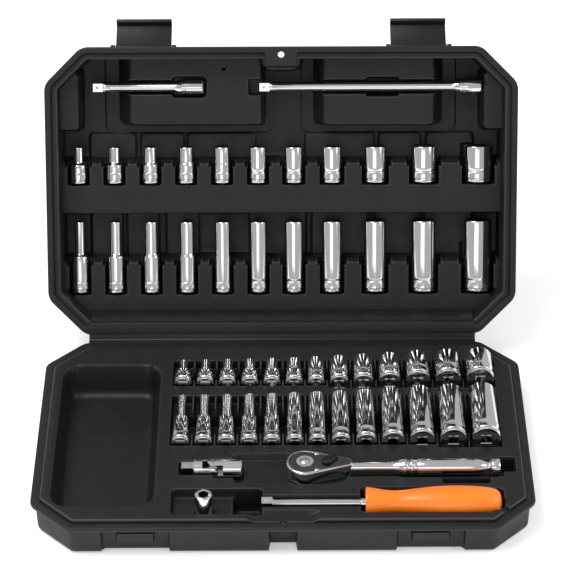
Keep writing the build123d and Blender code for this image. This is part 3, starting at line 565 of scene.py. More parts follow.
def lidBlocks():
    wide = case["half"] + 60
    ledge, recess = lid["ledge"], lid["recess"]
    blocks = [
        feature((-wide, wide, *lid["ledgeOne"]), ledge, wall=(1.2, 2.2, 1.8)),
        feature((-wide, wide, *lid["ledgeTwo"]), ledge, wall=(1.2, 3.2, 1.8)),
        feature((-wide, wide, -30, lid["nearStep"]), recess, wall=(1.0, 2.0, 0.8)),
        feature(lid["bossLeft"], ledge, radius=2.0, wall=(1.1, 2.3, 1.8), stretch=(3.2, 1.2, 1, 1)),
        feature(lid["bossRight"], ledge, radius=2.0, wall=(1.1, 2.3, 1.8), stretch=(2.8, 2.6, 1, 1)),
        feature((-13, 13, lidFar - 16.4, lidFar + 30), recess, radius=7.0, wall=(1.2, 3.0, 2.0)),
        feature((-122, -6, 140.5, 250), lid["floor"] - 0.9, radius=5.0, wall=(0.4, 0.5, 0.3)),
        feature((14, 121, 140.5, 250), lid["floor"] - 0.9, radius=5.0, wall=(0.4, 0.5, 0.3)),
    ]
    for side in (-1, 1):
        ends = sorted((side * 139.6, side * wide))
        blocks.append(feature((*ends, 144.6, 183.8), lid["plateau"], radius=3.0, wall=(1.2, 2.2, 1.8)))
    upper = ((-133.0, -102.0), (-97.5, -68.5), (-65.0, -18.5), (17.0, 64.0), (68.5, 96.5), (101.5, 133.0))
    lower = ((-133.0, -112.0), (-108.0, -86.5), (-80.5, -58.5), (-22.0, 16.5), (21.5, 60.0), (66.0, 96.0),
             (101.0, 133.0))
    for pads, reach, rise in ((upper, (112.0, 139.4), 2.6), (lower, (40.0, 95.0), 2.2)):
        for ends in pads:
            blocks.append(feature((*ends, *reach), lid["floor"] - rise, radius=2.6, wall=(0.8, 0.9, 0.9)))
    return blocks


def lidSlots():
    slots = []
    for kind, ledge in (("shallow", lid["ledgeOne"]), ("deep", lid["ledgeTwo"])):
        for (_, _, drive, _), at in zip(inchRow["sizes"], inchX):
            half = drive / 2 + 1.55
            level = inchRow["top"] + drive + 0.3
            slots.append(feature((at - half, at + half, inchRow[kind] - 1.6, ledge[1] + 12), level, lid["ledge"],
                                 radius=1.2, wall=(1.0, 0.6, 1.6)))
            slots.append(feature((at - half - 1.9, at + half + 1.9, ledge[1] - 3.2, ledge[1] + 12), level - 1.0,
                                 lid["ledge"], radius=2.4, wall=(1.0, 0.9, 1.6)))
    v, shortEnd = lid["barV"], lid["shortX"] + lid["shortLength"]
    bar, ends, shaft = (0.8, 0.5, 0.9), 26.9, 24.9
    slots += [
        feature((lid["bossLeft"][0] - 20, shortEnd - 16, v - 5.0, v + 5.0), ends, lid["ledge"], 1.0, bar),
        feature((shortEnd - 22, shortEnd + 2.2, v - 7.4, v + 7.4), ends, lid["ledge"], 3.4, bar),
        feature((lid["longX"] - 7.2, lid["bossLeft"][1] + 12, v - 5.6, v + 5.6), ends, lid["ledge"], 1.2, bar),
        feature((lid["bossRight"][0] - 20, lid["bossRight"][1] + 20, v - 5.0, v + 5.0), shaft, lid["ledge"],
                1.0, bar),
        feature((58.0, 81.5, v - 6.8, v + 6.8), 30.0, lid["ledge"], 2.4, (0.8, 0.9, 1.4)),
        feature((-40.9, -38.3, 184.7, 187.3), 22.0, lid["ledge"], 1.3, (0.3, 0.2, 0.3)),
    ]
    return slots


def lidTray():
    blocks, slots = lidBlocks(), lidSlots()
    floor = lid["floor"]

    def height(x, y):
        w = np.full(x.shape, floor)
        for block in blocks:
            top, run, foot = block["wall"]
            d = boxDistance(x, y, block["box"], block["radius"], block["stretch"])
            w = np.minimum(w, block["level"] + wallDrop(d, floor - block["level"], top, run, foot))
        for slot in slots:
            top, run, foot = slot["wall"]
            s = -boxDistance(x, y, slot["box"], slot["radius"], slot["stretch"])
            cutAt = slot["base"] + wallDrop(s, slot["level"] - slot["base"], top, run, foot)
            w = np.where((s > -top) & (w > slot["base"] - 1.5), np.maximum(w, cutAt), w)
        return -w

    inset = lid["inset"]
    cut = case["cut"] - inset * (2 - math.sqrt(2))
    near = case["hingeOffset"]
    border = (case["half"] - inset, near + inset, lidFar - inset, cut)
    xWanted = edgeLines(blocks, 0, 1) + edgeLines(slots, 0, -1) + [-border[0] + cut, border[0] - cut]
    yWanted = edgeLines(blocks, 1, 1) + edgeLines(slots, 1, -1) + [border[1] + cut, border[2] - cut]
    xLines = gridLines(xWanted, -border[0], border[0], 2.6, 0.26)
    yLines = gridLines(yWanted, border[1], border[2], 2.4, 0.26)

    def wall(at, depth):
        return lambda start, normals: (np.full(len(start), inset - at), np.maximum(start[:, 2], -depth))

    def back(at, depth):
        def ring(start, normals):
            pull = latchPull(start[:, 0]) * (normals[:, 1] > 0.9)
            return inset - at - 0.95 * pull, np.full(len(start), -depth)
        return ring

    def plate(at, depth):
        return lambda start, normals: (np.full(len(start), inset - at), np.full(len(start), -depth))

    rings = [wall(11.25, 36.1), wall(11.05, 35.2), wall(10.1, 24.0), wall(9.2, 12.0), wall(8.75, 4.4),
             wall(8.55, 3.5), wall(8.2, 3.1), wall(7.7, 3.0), plate(5.15, 3.0), plate(5.12, 4.5),
             back(5.7, 4.6), back(5.7, 37.8)]
    # painted light per ring: painted shade at the wall's foot and the plate corner, painted highlight on the rim's
    # rounding
    ringPaintedLight = [-0.4, 0, 0, 0, 0, 0.4, 0.8, 0.4, -0.8, 0, 0, 0]
    points, faces, paintedLightAndShade = trayBlock(xLines, yLines, height, border, rings, ringPaintedLight)
    return makePiece("lidTray", points, faces, "lid", "tray", ("lid_inner_tray",), "tray_plastic", lidPlace,
                     merge=True, paintedLightAndShade=paintedLightAndShade)


# ---- outer shells: a wall profile carried round the case's eight sides ----
shell = {"flange": 3.2, "flangeThick": 3.0, "wall": 2.0, "draft": 0.8, "catchLow": 15.0, "catchHigh": 5.8,
         "catchHalf": 12.25, "catchProud": 3.2, "panel": 0.8, "panelShare": 0.86}


def outlineLoop(radius, near, far):
    # points on the case's outline and their outward normals, with round corners
    half, cut = case["half"], case["cut"]
    corners = np.array([(cut - half, near), (half - cut, near), (half, near + cut), (half, far - cut),
                        (half - cut, far), (cut - half, far), (-half, far - cut), (-half, near + cut)])
    latchStops = [sign * (case["latchX"] + side * at) for sign in (-1, 1) for side in (-1, 1)
                  for at in (11.4, 12.3, 21.0, 21.9, 23.0, 24.0)]
    notchStops = [sign * at for sign in (-1, 1) for at in (8.1, 9.1, 10.1, 11.1, 13.0, 14.2)]
    points, normals = [], []
    reach = radius * math.tan(math.radians(22.5))
    for number in range(8):
        start, stop, after = corners[number], corners[(number + 1) % 8], corners[(number + 2) % 8]
        way = (stop - start) / np.linalg.norm(stop - start)
        normal = np.array([way[1], -way[0]])
        length = np.linalg.norm(stop - start) - 2 * reach
        places = list(np.linspace(0, length, max(3, int(length / 9)) + 1))
        if abs(way[0]) > 0.9:
            places += [(at - start[0]) * way[0] - reach for at in latchStops + notchStops]
        kept = []
        for place in sorted(places):
            if not kept or place - kept[-1] > 0.2:
                kept.append(place)
        points += [start + way * (reach + place) for place in kept]
        normals += [normal] * len(kept)
        nextWay = (after - stop) / np.linalg.norm(after - stop)
        nextNormal = np.array([nextWay[1], -nextWay[0]])
        centre = stop - (normal + nextNormal) / (1 + normal @ nextNormal) * radius
        for share in (0.2, 0.4, 0.6, 0.8):
            turn = math.radians(45 * share)
            mixed = np.array([normal[0] * math.cos(turn) - normal[1] * math.sin(turn),
                              normal[0] * math.sin(turn) + normal[1] * math.cos(turn)])
            points.append(centre + radius * mixed)
            normals.append(mixed)
    return np.array(points), np.array(normals)


def ramp(value, width=0.8):
    t = np.clip(value / width, 0, 1)
    return t * t * (3 - 2 * t)


def caseShell(front, near, far, height, radius, rimRows, catches):
    # rings of one outline: the inner wall up to the rim, round it, and down the outer wall to the panel
    points, normals = outlineLoop(radius, near, far)
    x = points[:, 0]
    onFront = normals[:, 1] * front > 0.9
    onBack = ramp(-front * normals[:, 1] - 0.75, 0.24)
    fromLatch = np.abs(np.abs(x) - case["latchX"])
    thick, flange, wall = shell["flangeThick"], shell["flange"], shell["wall"]

    def outerPull(z):
        below = ramp(-thick - 0.15 - z, 0.5)
        pull = case["latchDepth"] * ramp(case["latchHalf"] - fromLatch) * below
        if catches:
            pull -= (shell["catchProud"] * ramp(shell["catchHalf"] - fromLatch) * ramp(z + shell["catchLow"])
                     * ramp(-shell["catchHigh"] - z))
        return np.maximum(pull, case["notchDepth"] * ramp(case["notchHalf"] - np.abs(x)) * below) * onFront

    notch = case["notchDepth"] * ramp(case["notchHalf"] + wall - np.abs(x), 1.0) * onFront
    innerPull = latchPull(x) * onFront
    centre = np.array([0, (near + far) / 2])
    base0 = -height
    rings = []

    def add(inset, z, share=1.0):
        flat = points - np.reshape(inset, (-1, 1)) * normals
        flat = centre + (flat - centre) * share
        rings.append(np.column_stack([flat, np.full(len(flat), z)]))

    inner = flange + wall + innerPull
    for share in (0.25, 0.6, 0.9, 1.0):
        add(inner + 2.0, base0 + wall, share)
    add(inner + 0.3, base0 + wall + 0.5)
    add(inner, base0 + wall + 3)
    add(inner, -rimRows["under"])
    for inset, z in rimRows["rows"]:
        rise = rimRows.get("latch", 0) * latchPull(x) * onFront
        add(inset + np.maximum(notch * rimRows["notch"], rise) + rimRows["near"] * onBack * (z > -9), z)
    for inset, z in ((0.9, 0.0), (0.38, -0.14), (0.1, -0.5), (0.0, -1.1), (0.0, -2.1), (0.14, -2.65), (0.5, -2.96),
                     (2.5, -3.0), (3.0, -3.12)):
        add(np.full(len(x), inset), z)
    levels = [-3.35, -3.9, -4.6, -5.7, -6.3, -6.9, -10.5, -14.0, -14.5, -15.1, -15.8]
    low = base0 + 3.4
    levels = [z for z in levels if z > low + 0.5]
    levels += list(np.linspace(min(-16.5, low + 1), low, 3 if height < 30 else 6))
    for z in levels:
        add(flange + shell["draft"] * (-thick - z) / (height - thick) + outerPull(z), z)
    end = flange + shell["draft"]
    for inset, up in ((end + 0.25, 2.0), (end + 0.9, 0.9), (end + 1.9, 0.2), (end + 3.0, 0.0)):
        add(inset + outerPull(base0 + up), base0 + up)
    panel, edge = shell["panel"], shell["panelShare"]
    for share, up in ((edge, 0.0), (edge - 0.004, 0.1 * panel), (edge - 0.014, 0.9 * panel), (edge - 0.018, panel),
                      (0.6, panel), (0.25, panel)):
        add(end + 3.2, base0 + up, share)
    count = len(x)
    flat = np.concatenate(rings)
    faces = [list(face) for face in gridQuads(len(rings), count)]
    for ring, level, turned in ((0, base0 + wall, True), (len(rings) - 1, base0 + shell["panel"], False)):
        flat = np.vstack([flat, [*centre, level]])
        tip = len(flat) - 1
        order = np.arange(count) + ring * count
        faces += [[tip, b, a] if turned else [tip, a, b] for a, b in zip(order, np.roll(order, -1))]
    return flat, faces


def prism(section, x0, x1, bevel=0.35):
    # a section of (y, z) points carried along X, its ends pulled in by the bevel
    section = np.asarray(section, float)
    after, before = np.roll(section, -1, 0), np.roll(section, 1, 0)
    way = after - before
    normal = np.column_stack([way[:, 1], -way[:, 0]])
    normal /= np.linalg.norm(normal, axis=1)[:, None] + 1e-9
    area = 0.5 * np.sum(section[:, 0] * after[:, 1] - after[:, 0] * section[:, 1])
    normal *= np.sign(area)
    count, rings = len(section), []
    for at, inward in ((x0, bevel), (x0 + 0.3 * bevel, 0.3 * bevel), (x0 + bevel, 0), (x1 - bevel, 0),
                       (x1 - 0.3 * bevel, 0.3 * bevel), (x1, bevel)):
        rings.append(np.column_stack([np.full(count, at), section - inward * normal]))
    faces = [list(face) for face in gridQuads(6, count)]
    return np.concatenate(rings), faces + [list(range(count))[::-1], list(range(5 * count, 6 * count))]


def drilled(piece, x, y, z, radius, place=None):
    # a round hole through a piece, cut with a boolean and made its mesh
    points, faces = turnedPiece([(-12, 0, 0), (-12, radius, 0), (12, radius, 0), (12, 0, 0)], 32)
    spot = (place if place is not None else np.eye(4)) @ shifted(x, y, z) @ shifted(turn=90, axis="X")
    mesh = bpy.data.meshes.new("cutter")
    mesh.from_pydata((inPlace(points, spot) * metres).tolist(), [], faces)
    work = bmesh.new()
    work.from_mesh(mesh)
    bmesh.ops.remove_doubles(work, verts=work.verts, dist=1e-7)
    if work.calc_volume(signed=True) < 0:
        bmesh.ops.reverse_faces(work, faces=work.faces)
    work.to_mesh(mesh)
    work.free()
    cutter = bpy.data.objects.new("cutter", mesh)
    scene.collection.objects.link(cutter)
    modifier = piece.modifiers.new("hole", "BOOLEAN")
    modifier.operation, modifier.solver, modifier.object = "DIFFERENCE", "EXACT", cutter
    bpy.context.view_layer.update()
    cutMesh = bpy.data.meshes.new_from_object(piece.evaluated_get(bpy.context.evaluated_depsgraph_get()))
    piece.modifiers.clear()
    piece.data = cutMesh
    bpy.data.objects.remove(cutter)


def turnedPiece(rows, count=96):
    # Rows of (y, radius, sides) turned about Y: 0 round, 1 knurled, 4 square, 6 hexagonal, and -4 square
    # with its corners cut off. Radius 0 closes a pole; a first radius above 0 makes a closed tube.
    angles = np.linspace(0, 2 * np.pi, count, endpoint=False)
    rings = []
    for y, radius, sides in rows:
        if sides == 0:
            spread = np.full(count, float(radius))
        elif sides == 1:
            spread = radius + socketLook["knurl"] * np.where(np.arange(count) % 2, 1, -1)
        else:
            part = 2 * np.pi / abs(sides)
            spread = radius / np.cos((angles + part / 2) % part - part / 2)
            if sides < 0:
                spread = np.minimum(spread, radius * 1.33)
        rings.append(np.column_stack([spread * np.cos(angles), np.full(count, y), spread * np.sin(angles)]))
    points = np.concatenate(rings)
    if rows[0][1] > 0:
        faces = gridQuads(len(rings) + 1, count) % len(points)
        return points, [list(face) for face in faces]
    last = len(points) - count
    result = []
    for face in gridQuads(len(rings), count).tolist():
        face = [0 if index < count else last if index >= last else index for index in face]
        result.append([index for number, index in enumerate(face) if index != face[number - 1]])
    used = sorted({index for face in result for index in face})
    renumber = {old: new for new, old in enumerate(used)}
    return points[used], [[renumber[index] for index in face] for face in result]


def makeCase():
    baseTray()
    print("base tray made")
    lidTray()
    print("lid tray made")
    baseRim = {"rows": [(5.6, 0.0)], "notch": 1.0, "near": 0.0, "latch": 1.0, "under": 1.4}
    points, faces = caseShell(-1, case["near"], case["far"], case["rim"], case["baseCorner"], baseRim, True)
    made = makePiece("baseShell", points, faces, "base", "shell", ("base_outer_shell",), "case_plastic",
                     shifted(z=case["rim"]))
    hole = case["near"] + case["lockInset"]
    drilled(made, 0, hole, case["rim"], case["lockHole"])
    drilled(bpy.data.objects["baseTray"], 0, hole, case["rim"], case["lockHole"])
    lidRim = {"rows": [(5.25, -3.08), (5.0, -2.75), (4.55, -1.6), (4.05, -0.3), (3.85, -0.08), (3.5, 0.0)],
              "notch": 1.2, "near": 4.2, "under": 4.4}
    outer = caseShell(1, case["hingeOffset"], lidFar, case["lidHeight"], case["lidCorner"], lidRim, False)
    points, faces = together([outer] + [prism(earSection(), *ends, 0.3) for ends in earEnds()])
    made = makePiece("lidShell", points, faces, "lid", "shell", ("lid_outer_shell",), "case_plastic",
                     lidPlace @ shifted(z=-case["rimPlay"]))
    for piece in (made, bpy.data.objects["lidTray"]):
        drilled(piece, 0, lidFar - case["lockInset"], 0, case["lockHole"], lidPlace)
    print("shells made")


# ---- latches and hinge web ----
latch = {"half": 19.0, "knuckle": 2.6, "pinV": lidFar - 1.6, "pinZ": -6.2, "armIn": 2.0, "armOut": 4.4,
         "lipIn": -3.0, "lipTop": 21.5, "tip": 24.1, "open": 135.0, "ear": 2.4}


def earSection():
    v, z, r = latch["pinV"], latch["pinZ"], latch["knuckle"]
    arc = [(v + r * math.cos(a), z + r * math.sin(a)) for a in np.linspace(-math.pi / 2, math.pi / 2, 13)]
    return arc + [(lidFar - 7.0, z + r), (lidFar - 7.0, z - r)]


def earEnds():
    ends = []
    for x in (-case["latchX"], case["latchX"]):
        for side in (-1, 1):
            inner, outer = x + side * (case["latchHalf"] - latch["ear"]), x + side * (case["latchHalf"] + 0.6)
            ends.append(tuple(sorted((inner, outer))))
    return ends


def latchSection():
    r = latch["knuckle"]
    arc = [(r * math.cos(a), r * math.sin(a)) for a in np.linspace(math.radians(52), math.radians(335), 22)]
    a, b, c, top, tip = latch["armIn"], latch["armOut"], latch["lipIn"], latch["lipTop"], latch["tip"]
    bead = [(b, tip - 3.6), (b + 0.55, tip - 3.0), (b + 0.7, tip - 1.8), (b + 0.3, tip - 0.6), (b - 0.6, tip)]
    lip = [(c + 0.5, tip), (c + 0.1, tip - 0.4), (c, tip - 1.0), (c, top + 0.6), (c + 0.4, top)]
    return arc + [(3.7, -0.9), (b, 0.0), (b, 6.0), (b, 13.0)] + bead + lip + [(a - 1.0, top), (a - 0.3, top - 0.3),
                                                                            (a, top - 1.0), (a, 10.0), (a, 3.4)]


def makeLatches():
    for name, node, side in (("latchLeft", "latch_left", -1), ("latchRight", "latch_right", 1)):
        x = side * case["latchX"]
        place = lidPlace @ shifted(x, latch["pinV"], latch["pinZ"]) @ shifted(turn=-latch["open"], axis="X")
        points, faces = prism(latchSection(), -latch["half"], latch["half"], 0.5)
        makePiece(name, points, faces, node, "latch", (node,), "latch_plastic", place)
    half, y0, rim = 134.0, case["far"], case["rim"]
    along, radius = np.array([math.cos(lidTurn), math.sin(lidTurn)]), 2.0
    corner = np.array([hingePoint[1] + 0.35, 0.0])
    reach = radius * math.tan(lidTurn / 2)
    line = [(y0 - 0.2, 0.0), (y0 + 1.0, 0.0)]
    for angle in np.linspace(0, lidTurn, 9):
        line.append((corner[0] - reach + radius * math.sin(angle), radius * (1 - math.cos(angle))))
    line.append(tuple(corner + along * 4.1))
    line = np.array(line)
    way = np.gradient(line, axis=0)
    normal = np.column_stack([-way[:, 1], way[:, 0]]) / np.linalg.norm(way, axis=1)[:, None]
    thick = np.full(len(line), 0.42)
    thick[1], thick[-2] = 0.62, 0.62
    upper, lower = line + normal * thick[:, None], line - normal * thick[:, None]
    section = np.concatenate([lower, upper[::-1]]) + [0, rim - 0.62]
    points, faces = prism(section, -half, half, 0.3)
    web = makePiece("hingeWeb", points, faces, "base", "shell", ("hinge_web",), "case_plastic")
    web.parent = None
    del web["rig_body"]
    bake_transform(web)
    print("latches and hinge web made")


# ---- sockets: rings about the axis, round outside, hexagon mouth and square drive inside ----
socketLook = {"ringStop": 1.65, "grooveDepth": 0.42, "grooveStop": 2.5, "bandStart": 2.95, "bandStop": 7.0,
              "knurl": 0.02, "drive": 3.3, "driveDepth": 8.0, "hexDepth": {"shallow": 9.0, "deep": 22.0}}


def socketRings(flats, driveOd, workOd, kind):
    length, look = lengths[kind], socketLook
    r, w, groove = driveOd / 2, workOd / 2, look["grooveDepth"]
    stepped = workOd < driveOd - 1
    stepAt = (length * 0.5 if kind == "deep" else 12.2) if stepped else 8.2
    a, bore, mouth = flats / 2 + 0.12, min(flats / 2 - 0.4, 3.17), look["hexDepth"][kind]
    rows = [(0.35, 3.35, 4), (0.0, 3.75, 4), (0.0, r - 0.75, 0), (0.1, r - 0.42, 0), (0.36, r - 0.12, 0),
            (0.75, r, 0), (look["ringStop"] - 0.15, r, 0), (look["ringStop"], r - 0.1, 0), (1.85, r - groove, 0),
            (look["grooveStop"], r - groove, 0), (2.68, r - 0.1, 0), (look["bandStart"] - 0.1, r, 0)]
    rows += [(y, r - look["knurl"], 1) for y in (look["bandStart"], 4.3, 5.6, look["bandStop"])]
    rows += [(look["bandStop"] + 0.1, r, 0), (7.3, r - 0.06, 0), (7.55, r - 0.3, 0), (stepAt, r - 0.3, 0)]
    if stepped:
        for share in (0.15, 0.35, 0.6, 0.85, 1.0):
            ease = share * share * (3 - 2 * share)
            rows.append((stepAt + 2.6 * share, r - 0.3 + (w - r + 0.3) * ease, 0))
    else:
        rows += [(stepAt + 0.4, r - 0.2, 0), (stepAt + 1.4, w - 0.02, 0), (stepAt + 2.0, w, 0)]
    rows += [(length - 0.75, w, 0), (length - 0.4, w - 0.09, 0), (length - 0.12, w - 0.35, 0),
             (length, w - 0.7, 0)]
    lip = min(0.45, (w - 0.7 - a / math.cos(math.pi / 6)) * 0.5)
    rows += [(length, a + max(lip, 0.05), 6), (length - max(lip, 0.05), a, 6), (length - mouth, a, 6),
             (length - mouth, bore, 0), (look["driveDepth"], bore, 0), (look["driveDepth"], look["drive"], 4)]
    return turnedPiece(rows, 96)


def makeSockets():
    rowsOf = [("metric", metricRow, metricX, "base"), ("inch", inchRow, inchX, "lid")]
    for system, row, places, home in rowsOf:
        for kind in ("shallow", "deep"):
            small = []
            for number, ((label, flats, driveOd, workOd), x) in enumerate(zip(row["sizes"], places)):
                points, faces = socketRings(flats, driveOd, workOd, kind)
                if home == "base":
                    place = shifted(x, row[kind], row["seat"] + driveOd / 2)
                else:
                    place = lidPlace @ shifted(x, row[kind], -row["top"] - driveOd / 2)
                points = inPlace(points, place)
                if number < row["single"]:
                    small.append((points, faces))
                    continue
                node = f"socket_{system}_{kind}_{label.replace('/', '_').replace('.', '_')}"
                makePiece(node + "Chrome", points, faces, node, "chrome", (node,), "polished_chrome", sharp=30)
            node = f"socket_{system}_{kind}_small_sizes"
            points, faces = together(small)
            makePiece(node + "Chrome", points, faces, node, "chrome", (node,), "polished_chrome", sharp=30)
    print("sockets made")


# ---- drive tools ----
tool = {
    "square": 3.175, "postLength": 7.3, "shaft": 3.3, "end": 5.3, "endLength": 15.0, "spinnerShaft": 2.8,
    "headLow": -5.4, "headHigh": 4.8, "headRadius": 12.2, "neckX": 27.0, "neckRadius": 4.0,
    "coverInset": 1.7, "screwX": 7.6, "screwY": 8.3, "button": 3.4, "hub": 5.6,
    "selectorX": 14.4, "selectorTurn": 38.0,
    "handle": 5.3, "handleStart": 64.0, "handleEnd": 126.6,
    "gripStart": 66.7, "spinnerTip": -14.0, "spinnerZ": 22.5, "ratchetZ": 28.4,
}
gripLine = [(1.2, 10.4), (5, 9.9), (12, 8.7), (18, 8.2), (24, 8.4), (34, 9.6), (45, 10.7), (56, 11.15), (66, 11.0),
            (74, 10.5), (79.5, 9.8), (83.4, 8.8), (85.9, 7.0), (87, 4.4)]


def smoothLine(points, steps):
    # a curve through the points: each stretch is a cubic whose slopes come from its neighbours
    points = np.asarray(points, float)
    slopes = np.gradient(points, axis=0)
    t = np.linspace(0, 1, steps, endpoint=False)[:, None]
    line = []
    for a, b, da, db in zip(points, points[1:], slopes, slopes[1:]):
        line.append(a * (1 + 2 * t) * (1 - t) ** 2 + da * t * (1 - t) ** 2 + b * t * t * (3 - 2 * t)
                    + db * t * t * (t - 1))
    return np.vstack(line + [points[-1:]])


def postRows():
    # the square drive post, its corners cut off, with a chamfered tip
    s, stop = tool["square"], tool["postLength"]
    return [(0, 0, 0), (0, s - 0.5, -4), (0.12, s - 0.25, -4), (0.45, s, -4), (stop, s, -4)]


def makeExtensions():
    s, e = tool["shaft"], tool["end"]
    for name in ("short", "long"):
        x, length = lid[name + "X"], lid[name + "Length"]
        end = length - tool["endLength"]
        rows = postRows() + [(tool["postLength"], s + 0.35, 0), (7.7, s + 0.6, 0), (8.4, s + 0.7, 0),
                             (9.6, s + 0.66, 0), (11.0, s + 0.35, 0), (12.6, s, 0), (end * 0.5, s, 0),
                             (end - 5, s, 0)]
        rows += [(end - 5 + 5 * share, s + (e - 0.3 - s) * share ** 1.25, 0) for share in (0.25, 0.5, 0.75, 1.0)]
        rows += [(end + 0.35, e, 0), (end + 1.6, e, 0), (end + 1.9, e - 0.28, 0), (end + 2.7, e - 0.28, 0),
                 (end + 3.0, e, 0), (length - 1.0, e, 0), (length - 0.4, e - 0.16, 0), (length - 0.08, e - 0.5, 0),
                 (length, e - 0.9, 0), (length, 3.6, 4), (length - 0.3, 3.3, 4), (length - 8, 3.3, 4),
                 (length - 8, 0, 0)]
        points, faces = turnedPiece(rows, 96)
        node = f"extension_{name}"
        place = lidPlace @ shifted(x, lid["barV"], -inchRow["top"] - e, turn=-90)
        makePiece(node + "Chrome", points, faces, node, "chrome", (node,), "polished_chrome", place, 30)
    print("extensions made")


def teardropLoop(shrink):
    # two circles and their common tangents, evenly walked round
    r0, r1 = tool["headRadius"] - shrink, tool["neckRadius"] - shrink * 0.5
    t = math.acos((r0 - r1) / tool["neckX"])
    big = np.linspace(t, 2 * math.pi - t, 61)
    tip = np.linspace(-t, t, 17)
    share = np.linspace(0, 1, 9)[1:-1, None]
    a = np.column_stack([r0 * np.cos(big), r0 * np.sin(big)])
    b = np.column_stack([tool["neckX"] + r1 * np.cos(tip), r1 * np.sin(tip)])
    return np.vstack([a, a[-1] + (b[0] - a[-1]) * share, b, b[-1] + (a[0] - b[-1]) * share])


def stacked(loop, rows):
    # a loop function's outlines at each (inset, height), closed at both ends
    rings = []
    for inset, z in rows:
        flat = loop(inset)
        rings.append(np.column_stack([flat, np.full(len(flat), z)]))
    count = len(rings[0])
    faces = [list(face) for face in gridQuads(len(rings), count)]
    last = (len(rings) - 1) * count
    return np.concatenate(rings), faces + [list(range(count))[::-1], list(range(last, last + count))]


def pierced(loop, rows, holeRows):
    # outlines at each (inset, height), then circles about the origin at each (radius, height), as one closed plate
    rings = [np.column_stack([loop(inset), np.full(len(loop(inset)), z)]) for inset, z in rows]
    angle = np.arctan2(rings[0][:, 1], rings[0][:, 0])
    rings += [np.column_stack([r * np.cos(angle), r * np.sin(angle), np.full(len(angle), z)]) for r, z in holeRows]
    total = len(rings) * len(angle)
    faces = gridQuads(len(rings) + 1, len(angle)) % total
    return np.concatenate(rings), [list(face) for face in faces]


def leverLoop(inset):
    # round pad at the pivot drawn out into a long tongue
    r0, r1, reach = 3.5 - inset, 2.1 - inset, 6.4
    t = math.acos((r0 - r1) / reach)
    big, tip = np.linspace(t, 2 * math.pi - t, 33), np.linspace(-t, t, 21)
    return np.vstack([np.column_stack([r0 * np.cos(big), r0 * np.sin(big)]),
                      np.column_stack([reach + r1 * np.cos(tip), r1 * np.sin(tip)])])


